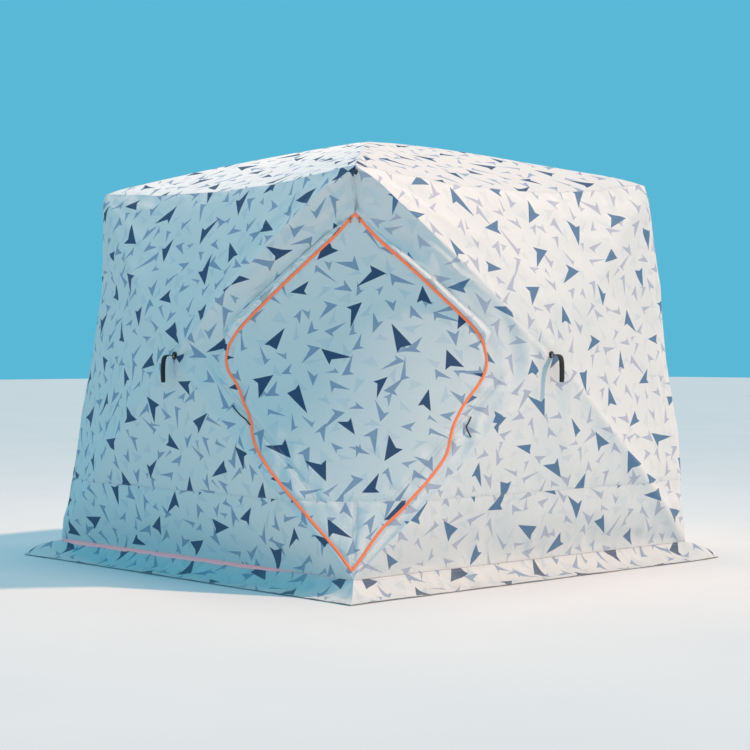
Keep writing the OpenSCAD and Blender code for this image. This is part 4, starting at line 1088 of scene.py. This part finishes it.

# Storm flaps. A strip of cloth is sewn outside each upper edge of the zip; it stands up in
# a soft ridge beside the coil, falls away from it, and is sewn down with a hem. Its cloth is whiter
# than the walls' and its print fainter: painted highlight, for the light that the ridge catches.

flap_in, flap_w, flap_tip_w, flap_first, flap_run = 0.009, 0.054, 0.018, LAST - 0.3, 9
ACROSS, FLAP_LONG, flap_slack = 14, 220, 1.15
for side, hand, height, crumple, ink in (("right", 1, 0.017, 0.0018, 0.3), ("left", -1, 0.004, 0.009, 0.4)):
    # Whiter cloth and faint print: painted highlight.
    flap_cloth = camouflage(f"storm flap cloth {side}", (0.86, 0.86, 0.86), 33.0 + hand, ink=ink)
    i = np.linspace(flap_first, flap_first - flap_run, FLAP_LONG)
    c = np.linspace(0, 1, ACROSS + 1)
    down = (flap_first - i) / flap_run
    rounded = 0.25 + 0.75 * smooth01(np.minimum(down, 1 - down) / 0.12)
    wide_at = (flap_tip_w + (flap_w - flap_tip_w) * down) * rounded
    grid = [zip_pt(i, hand, flap_in + wide_at * k) for k in c]
    p, z = (np.stack([g[n] for g in grid], 1) for n in (0, 1))
    base, out = on_saddle(p, z)
    run = run_along(base[:, 0])
    track = xyz(run[:, None], c * 0.05, 0)
    ridge = np.interp(c, (0, 0.1, 0.22, 0.34, 0.6, 1), (0.1, 0.62, 0.97, 1.0, 0.62, 0))
    stand = height * ridge * (0.85 + 0.3 * ripple(track * [1, 0.2, 1], 0.14, 91 + hand))
    ends = smooth01(np.minimum(run, run[-1] - run) / 0.05)[:, None]
    lip = 0.0025 * smooth01((c - 0.86) / 0.05) * (1 - 0.6 * smooth01((c - 0.95) / 0.05))
    rough = crumple * ends * crease(track * [1, 1.4, 1], 0.028, 95 + hand) * np.sin(math.pi * c)
    lift = 0.0015 + (stand + lip) * ends + rough
    world = (base + out * np.maximum(lift, 0.001)[..., None]).reshape(-1, 3)
    wide = ACROSS + 1
    quads = list(cells(0, len(i) - 1, ACROSS))
    chart = [[(run[k // wide], c[k % wide] * flap_w + hand) for k in q] for q in quads]
    seam = [[(FAR, (1 - c[k % wide]) * wide_at[k // wide]) for k in q] for q in quads]
    cloth = sewn(f"storm_flap_{side}_cloth", world, -out.reshape(-1, 3), quads, chart, seam, flap_cloth,
                 "flap_cloth", f"storm_flap_{side}", mirrored=hand > 0, thick=0.0009)
    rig.sheet(cloth, flat=(float(run[-1]), flap_w * flap_slack), held="stretched",
             rests_on=[f"{side}_wall_upper_cloth"],
             area=float(run[-1]) * (flap_w + flap_tip_w) / 2 * flap_slack)

# Roof. Four gores of the same cloth meet at the top and fall to the eaves; hip seams run over
# the roof poles.

# The gores' whites differ as painted light and shade. The right gore, which the lamp lights, is given a greyer white
# (painted shade). The left one, in shade, is given a whiter one (painted light).
gore_white_evened_for_light, gore_l, count = {"right": 0.70, "left": 0.87}, 1.05, RINGS * FINE
fall, side_share = np.meshgrid(np.linspace(0, 1, count + 1), np.linspace(-1, 1, 2 * count + 1), indexing="ij")
line = over_pole(np.array([0, 0, peak_h]), eave_corner, UP, roof_bow, fall)
pull = (1 - side_share ** 2) * fall ** 2
gore = xyz(line[..., 0] * side_share, line[..., 1] + eave_in * pull, line[..., 2] - eave_drop * pull)
to_hip, to_eave = (1 - abs(side_share)) * fall * 0.7, (1 - fall) * gore_l
plateau = 0.009 * bell(fall, 0.07)
quads = list(cells(0, count, 2 * count, outward=False))
quads[:2 * count] = [[0, q[1], q[2]] for q in quads[:2 * count]]
gore_pts = gore.reshape(-1, 3)
for side, seed in (("right", 71), ("left", 73), ("back_right", 79), ("back_left", 83)):
    loose = smooth01(np.minimum(to_hip, to_eave) / 0.1)
    fold = 0.0042 * ripple(gore * [1, 0.6, 1], 0.24, seed) * loose
    fold += puckers(0.0036, to_eave, 0.04, gore * [3, 0.5, 1], 0.3, seed + 1)
    fold += puckers(0.003, to_hip, 0.035, gore, 0.13, seed + 2)
    for k, centre in enumerate((np.array([0, 0, peak_h]), eave_corner, front_top)):
        r = norm(gore - centre)
        fan = xyz(np.arctan2(gore[..., 0] - centre[0], gore[..., 1] - centre[1]) * 7, k * 3, r * 1.2)
        fold += 0.006 * crease(fan, 1.2, seed + 5 + k) * smooth01(r / 0.12) * np.exp(-r / 0.4) * loose
    fold = np.maximum(fold, -0.001 - 0.05 * np.maximum(to_hip - 0.012, 0)) - plateau
    world = settle(on_side(side, gore + UP * fold[..., None]))
    down, beside = (world[..., 0] - world[..., 1]) / ROOT2, (world[..., 0] + world[..., 1]) / ROOT2
    swell = 0.017 * np.sin(math.pi * np.clip(down / (ROOT2 * top_half), 0, 1)) * bell(beside, 0.35)
    world = (world + UP * (swell * smooth01(to_eave / 0.15))[..., None]).reshape(-1, 3)
    chart = [[(gore_pts[k][0] + seed, -gore_pts[k][1] * 1.05 + seed) for k in q] for q in quads]
    seam = [[(FAR, min(to_hip.flat[k], to_eave.flat[k])) for k in q] for q in quads]
    roof_cloth = camouflage(f"printed roof cloth {side}", (gore_white_evened_for_light.get(side, 0.8),) * 3, 41.0)
    node = f"{side}_roof_gore"
    cloth = sewn(node + "_cloth", world, np.tile(-UP, (len(world), 1)), quads, chart, seam, roof_cloth,
                 "roof_cloth", node, mirrored=side == "left")
    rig.sheet(cloth, flat=(2 * top_half, gore_l), held="stretched", area=sheet_area(gore_pts, quads),
             rests_on=["roof_poles"])

# Skirt. A crumpled strip of the printed cloth is sewn to the walls' foot, falls from it and
# lies flat round the hut, where it is weighed down to keep out the wind.

skirt_out, skirt_rim, skirt_t, skirt_thick, off_ground = 0.14, 0.04, 0.004, 0.0022, 0.0002
skirt_fall, skirt_top = skirt_out - skirt_rim, base_lift - 0.0005
skirt_cloth = camouflage("printed skirt cloth", WHITE, 53.0, wear=1.4)


def skirt_z(d):
    """Height of the smooth skirt at a distance out from the wall's foot."""
    return skirt_t + (skirt_top - skirt_t) * np.maximum(0, 1 - d / skirt_fall) ** 2


def skirt_flat(d, x):
    """The smooth skirt of the side that faces -Y, at distances out and shares along."""
    return xyz(x * (base_half + d), -(base_half + d), skirt_z(d))


tent_up, tent_w, tip_in = 0.042, 0.09, 0.026


def skirt_at(side, d, x, lift=0.0):
    """The crumpled skirt: no folds at its seam, most half way down, low ridges where it lies. It
    stands up as a tent over the two outer corners, and the right one's tip is turned in."""
    p = on_side(side, skirt_flat(d, x))
    corner = np.stack([np.sign(p[..., 0]), np.sign(p[..., 1])], -1) * (base_half + d)[..., None]
    aside = norm(p[..., :2] - corner)
    outer = p[..., 0] * p[..., 1] < 0
    tent = tent_up * bell(aside, tent_w) * np.sin(math.pi * np.clip(d / skirt_out, 0, 1)) * outer
    tucked = tip_in * bell(aside, 0.12) * smooth01(d / skirt_out) * outer * (p[..., 0] > 0)
    level, lying = p * [1, 1, 0], smooth01((d - 0.085) / 0.05)
    fold = 0.0075 * crease(level, 0.16, 101) + 0.004 * crease(level, 0.06, 102)
    rise = (fold * (1 - 0.8 * lying) - 0.0008 * lying) * smooth01(d / 0.03)
    drift = 0.006 * ripple(level, 0.21, 104) * smooth01((d - 0.09) / 0.05)
    q = settle(p) + unit(level) * (drift - tucked)[..., None]
    q[..., 2] = np.maximum(p[..., 2] + rise + tent, skirt_thick + off_ground) + lift
    return q


LONG, DEEP = 260, 14
d_grid, x_grid = np.meshgrid(np.linspace(0, skirt_out, DEEP + 1), np.linspace(-1, 1, LONG + 1), indexing="ij")
flat_d, flat_x = d_grid.reshape(-1), (x_grid * (base_half + d_grid)).reshape(-1)
quads = list(cells(0, DEEP, LONG, outward=False))
for side in TURNS:
    world = skirt_at(side, d_grid, x_grid).reshape(-1, 3)
    chart = [[(flat_x[k] + TURNS[side], -flat_d[k] * 1.1 + 0.7) for k in q] for q in quads]
    seam = [[(FAR, min(flat_d[k], skirt_out - flat_d[k])) for k in q] for q in quads]
    cloth = sewn(f"{side}_skirt_cloth", world, np.tile(-UP, (len(world), 1)), quads, chart, seam, skirt_cloth,
                 "skirt_cloth", f"{side}_skirt", mirrored=side == "left", thick=skirt_thick)
    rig.sheet(cloth, flat=(2 * (base_half + skirt_out), 0.185), held="laid", rests_on=[f"{side}_wall_lower"],
             area=sheet_area(skirt_flat(d_grid, x_grid).reshape(-1, 3), quads))

# Piping. Fluorescent tape and a thin cord of it cover the seam between walls and skirt; the
# tape is crushed under the wall's foot and shows least near the door.

# The tape's glow is painted light: an emission that keeps it bright pink in shade. The second copy, paler and almost
# without glow, goes on the sunlit right wall. It is painted light again, a lit copy of the first.
piping_tape = dyed("piping tape", (0.84, 0.66, 0.66), painted_glow=(0.19, 0.03, 0.03), weave=1500.0)
sunlit_copy_tape = dyed("piping tape, lit copy", (0.80, 0.71, 0.69), painted_glow=(0.03, 0.0, 0.0), weave=1500.0)
tape_w, cord_r, tape_ends, TAPE_LONG, TAPE_DEEP = 0.012, 0.0022, 0.985, 299, 4
for side in TURNS:
    tape_finish = sunlit_copy_tape if side == "right" else piping_tape
    x = np.linspace(-tape_ends, tape_ends, TAPE_LONG + 1)
    x_tape, c_tape = np.meshgrid(x, np.linspace(0, 1, TAPE_DEEP + 1))
    narrow = {"right": 0.12, "left": 0.1 + 0.8 * smooth01((x_tape + 0.75) / 0.4)}.get(side, 0.8)
    crushed = 1 + 0.3 * ripple(xyz(x_tape * base_half, 0, 0), 0.11, 121)
    d = 0.001 + c_tape * tape_w * narrow * crushed
    level = on_side(side, skirt_flat(d, x_tape)) * [1, 1, 0]
    world = skirt_at(side, d, x_tape, 0.0016 + 0.0016 * c_tape * (1 + crease(level, 0.07, 120)))
    quads = list(cells(0, TAPE_DEEP, TAPE_LONG, outward=False))
    pairs = [[(x_tape.flat[k], c_tape.flat[k]) for k in q] for q in quads]
    sewn(f"{side}_piping_tape", world.reshape(-1, 3), np.tile(-UP, (world.size // 3, 1)), quads, pairs, pairs,
         tape_finish, "piping", "wall_piping", mirrored=side == "left", thick=0.0008)
    shown = {"right": 0 * x, "left": smooth01((x + 0.75) / 0.35)}.get(side, 1 + 0 * x)
    away = 0.0048 * shown - 0.0045 * (1 - shown)
    foot = skirt_flat(away, x) * [1, 1, 0] + UP * (base_lift + 0.0025)
    foot[:, 2] += 0.0008 * ripple(foot, 0.09, 124)
    path = settle(on_side(side, foot))
    way = np.gradient(path, axis=0)
    swept(f"{side}_piping_cord", path, unit(np.cross(way, UP)), np.tile(UP, (len(x), 1)), ring(cord_r, 12),
          tape_finish, "piping", "wall_piping", bend=80)

# Hem. A dark binding is folded round the skirt's outer edge, and waves with it.

hem_binding = dyed("hem binding", (0.30, 0.275, 0.27), weave=1800.0)
HEM_LONG = 400
hem_shape = [(-0.006, 0.0003), (-0.006, 0.0007), (0.0005, 0.0007), (0.001, 0.0), (0.0005, -0.0012),
             (-0.0005, -0.0012), (-0.0005, 0.0003)]
for side in TURNS:
    x = np.linspace(-1, 1, HEM_LONG)
    path = skirt_at(side, skirt_out + 0 * x, x)
    way = np.gradient(path, axis=0)
    outward = unit(np.cross(way, UP)) * (-1 if side == "left" else 1)
    swept(f"{side}_hem", path, outward, np.tile(UP, (HEM_LONG, 1)), hem_shape, hem_binding, "hem_binding",
          "skirt_hem")

# Straps. A black webbing pull is riveted outside each wall hub under a moulded cap: pulling it
# out locks the wall.

webbing = dyed("black webbing", (0.02, 0.02, 0.022), weave=520.0, depth=0.0009)
cap_nylon = nylon("cap nylon", (0.03, 0.03, 0.033), 2400.0)
rivet_steel, shader, place = finish("rivet steel")
feed(shader, Base_Color=(0.62, 0.62, 0.6, 1), Metallic=1.0, Roughness=0.28 + 0.2 * place.noise(700.0, 3.0))
cap_r, cap_t, cap_seat, STRAP_LONG = 0.02, 0.006, 0.0018, 60
strap_w, strap_reach, strap_drop, ply, ply_gap = 0.03, 0.064, 0.128, 0.0016, 0.0021


def turned(name, at, profile, material, slot, *cad, steps=40):
    """A profile of (radius, out) points turned about the outward axis of a wall hub."""
    angles = np.arange(steps) * math.tau / steps
    side, base = at
    points = [base + [r * math.cos(a), -y, r * math.sin(a)] for r, y in profile for a in angles]
    faces = [[(k + up) * steps + (n + on) % steps for up, on in ((0, 0), (1, 0), (1, 1), (0, 1))]
             for k in range(len(profile) - 1) for n in range(steps)]
    faces += [list(range(steps)), [len(points) - 1 - n for n in range(steps)]]
    if side != "left":
        faces = [f[::-1] for f in faces]
    return built(name, on_side(side, np.array(points)), faces, {}, material, slot, *cad, bend=35)


for side in TURNS:
    hub_face = np.array([0, -hub_reach - cap_seat, hub_h])
    turned(f"{side}_strap_cap", (side, hub_face),
           [(0.004, 0), (cap_r, 0), (cap_r, 0.0022), (cap_r - 0.0012, 0.0036), (cap_r - 0.006, 0.0048),
            (0.009, 0.0056), (0.0085, 0.0048), (0.006, 0.0048)], cap_nylon, "strap_webbing", f"{side}_strap")
    turned(f"{side}_rivet", (side, hub_face - [0, cap_t + ply, 0]),
           [(0.0015, -0.002), (0.0062, -0.002), (0.0062, 0.0006), (0.0048, 0.0018), (0.0025, 0.0024)],
           rivet_steel, "strap_webbing", f"{side}_strap", steps=28)
    t = np.linspace(0, 1, STRAP_LONG)
    bight = np.array([strap_reach, 0.006])
    line = curve(np.array([0.001, 0]), bight, bight, np.array([strap_reach, -strap_drop]), t)
    for n, (gap, end) in enumerate(((0.0, STRAP_LONG), (-ply_gap, STRAP_LONG - 2))):
        path = xyz(0.002 * np.sin(t * 3) * t, -hub_reach - cap_t * 0.9 - line[:, 0], hub_h + line[:, 1])
        way = unit(np.gradient(path, axis=0))
        cross = unit(np.array([1, 0, 0]) + 0.07 * (t * np.sin(2.4 * t))[:, None] * FRONT_OUT)
        lean = unit(np.cross(cross, way))
        path = path + lean * gap
        half = strap_w / 2
        shape = [(-half, -ply / 2), (half, -ply / 2), (half + 0.0005, 0), (half, ply / 2), (-half, ply / 2),
                 (-half - 0.0005, 0)]
        if side == "left":
            shape = shape[::-1]
        swept(f"{side}_strap_ply_{n + 1}", on_side(side, path[:end]), on_side(side, cross[:end]),
              on_side(side, lean[:end]), shape, webbing, "strap_webbing", f"{side}_strap", bend=60)

# Corner loop. A small loop of black cord is caught in the seam at the eave above the door and
# hangs to the left.

loop_r, loop_aside = 0.015, -0.008
turn = np.linspace(math.pi, 0, 10)
loop_knots = np.stack([loop_aside + loop_r * np.cos(turn), eave_h - 2 * loop_r + loop_r * np.sin(turn)], -1)


def corded(name, knots, radius, lift, rounds, length, lay, *cad):
    """A round cord that lies on the front saddle along a soft line through points (p, z), and goes
    back into the cloth at its end."""
    t = np.linspace(0, len(knots) - 1, 20 * len(knots))
    line = np.stack([np.interp(t, range(len(knots)), knots[:, n]) for n in (0, 1)], -1)
    for _ in range(rounds):
        line[1:-1] = (line[:-2] + line[2:]) / 2
    path, out = on_saddle(line[:, 0], line[:, 1], lift + radius)
    made = swept(name, path, unit(np.cross(np.gradient(path, axis=0), out)), out, ring(radius, 10)[::-1],
                 webbing, "tie_webbing", *cad, bend=80)
    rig.cord(made, exit=path[0], length=length, diameter=2 * radius, far_end="object", stiffness="limp",
            lay=lay, path=path)


corded("corner_loop_cord", loop_knots, 0.0022, 0.002, 30, 0.05, "hanging", "corner_loop")

# Door ties. Short black cords beside the zip, at the waist, hold the rolled-up door.

for side, knots, length in (
        ("left", ((-0.569, 0.831), (-0.530, 0.790), (-0.500, 0.770), (-0.478, 0.744)), 0.142),
        ("right", ((0.498, 0.782), (0.484, 0.752), (0.472, 0.735), (0.494, 0.690)), 0.108)):
    corded(f"door_tie_{side}", np.array(knots), 0.003, 0.0012, 60, length, "loose", "door_ties")

# Floor, light and camera. A pale floor, a warm soft lamp from the right, a broad cool sky and
# a camera at chest height, nine metres from the hut's middle on the door's side.

stage_mesh = bpy.data.meshes.new("floor")
stage_mesh.from_pydata([(-60, -60, -0.0005), (60, -60, -0.0005), (60, 60, -0.0005), (-60, 60, -0.0005)], [],
                       [(0, 1, 2, 3)])
stage = bpy.data.objects.new("floor", stage_mesh)
bpy.context.scene.collection.objects.link(stage)
pale, shader, place = finish("pale floor")
feed(shader, Roughness=0.9, Base_Color=place.node("ValToRGB", {"stops": (
    (0.3, (0.76, 0.77, 0.78)), (0.7, (0.80, 0.80, 0.80)))}, {0: place.noise(0.7, 3.0)}))
stage_mesh.materials.append(pale)
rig.stage(stage)

sky = bpy.data.worlds.new("sky")
bpy.context.scene.world = sky
sky.use_nodes = True
sky.node_tree.nodes["Background"].inputs["Color"].default_value = (0.102, 0.481, 0.672, 1)
sky.node_tree.nodes["Background"].inputs["Strength"].default_value = 1.0


def lamp(name, kind, colour, energy, at, look_at, **settings):
    """A lamp at a place, turned to another."""
    data = bpy.data.lights.new(name, kind)
    data.color, data.energy = colour, energy
    for setting, value in settings.items():
        setattr(data, setting, value)
    made = bpy.data.objects.new(name, data)
    made.location = at
    made.rotation_euler = (Vector(at) - Vector(look_at)).to_track_quat("Z", "Y").to_euler()
    bpy.context.scene.collection.objects.link(made)


view_heading = math.radians(42.49)
key_heading, key_height = view_heading + math.radians(92), math.radians(44)
key_way = Vector((math.sin(key_heading), math.cos(key_heading), math.tan(key_height)))
lamp("key", "SUN", (1.0, 0.592, 0.374), 2.94, 20 * key_way.normalized(), (0, 0, 0), angle=math.radians(3))
lamp("top", "AREA", (1.0, 0.652, 0.476), 201, (0, 0, 7.5), (0, 0, 1.5), size=3.0)

lens = bpy.data.cameras.new("camera")
focal_px, frame_px, sensor, eye_h = 1761, 750, 36.0, 1.07
lens.sensor_width, lens.lens = sensor, focal_px / frame_px * sensor
eye = bpy.data.objects.new("camera", lens)
bpy.context.scene.collection.objects.link(eye)
distance, heading, pitch, roll = 9.33, math.radians(42.35), math.radians(-0.67), math.radians(-0.07)
level = Vector((math.sin(view_heading), math.cos(view_heading), 0))
ahead = level * math.cos(pitch) + Vector((0, 0, 1)) * math.sin(pitch)
up = Vector((0, 0, 1)) * math.cos(pitch) - level * math.sin(pitch)
right = Vector((level.y, -level.x, 0))
right, up = right * math.cos(roll) + up * math.sin(roll), up * math.cos(roll) - right * math.sin(roll)
stand = Matrix.Translation((-distance * math.sin(heading), -distance * math.cos(heading), eye_h))
eye.matrix_world = stand @ Matrix((right, up, -ahead)).transposed().to_4x4()
bpy.context.scene.camera = eye
bpy.context.scene.view_settings.view_transform = "Standard"

with open("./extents.json", "w") as kept:
    json.dump({"cad": [list(c) for c in cad_box], "visual": [list(c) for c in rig.bounds()]}, kept)
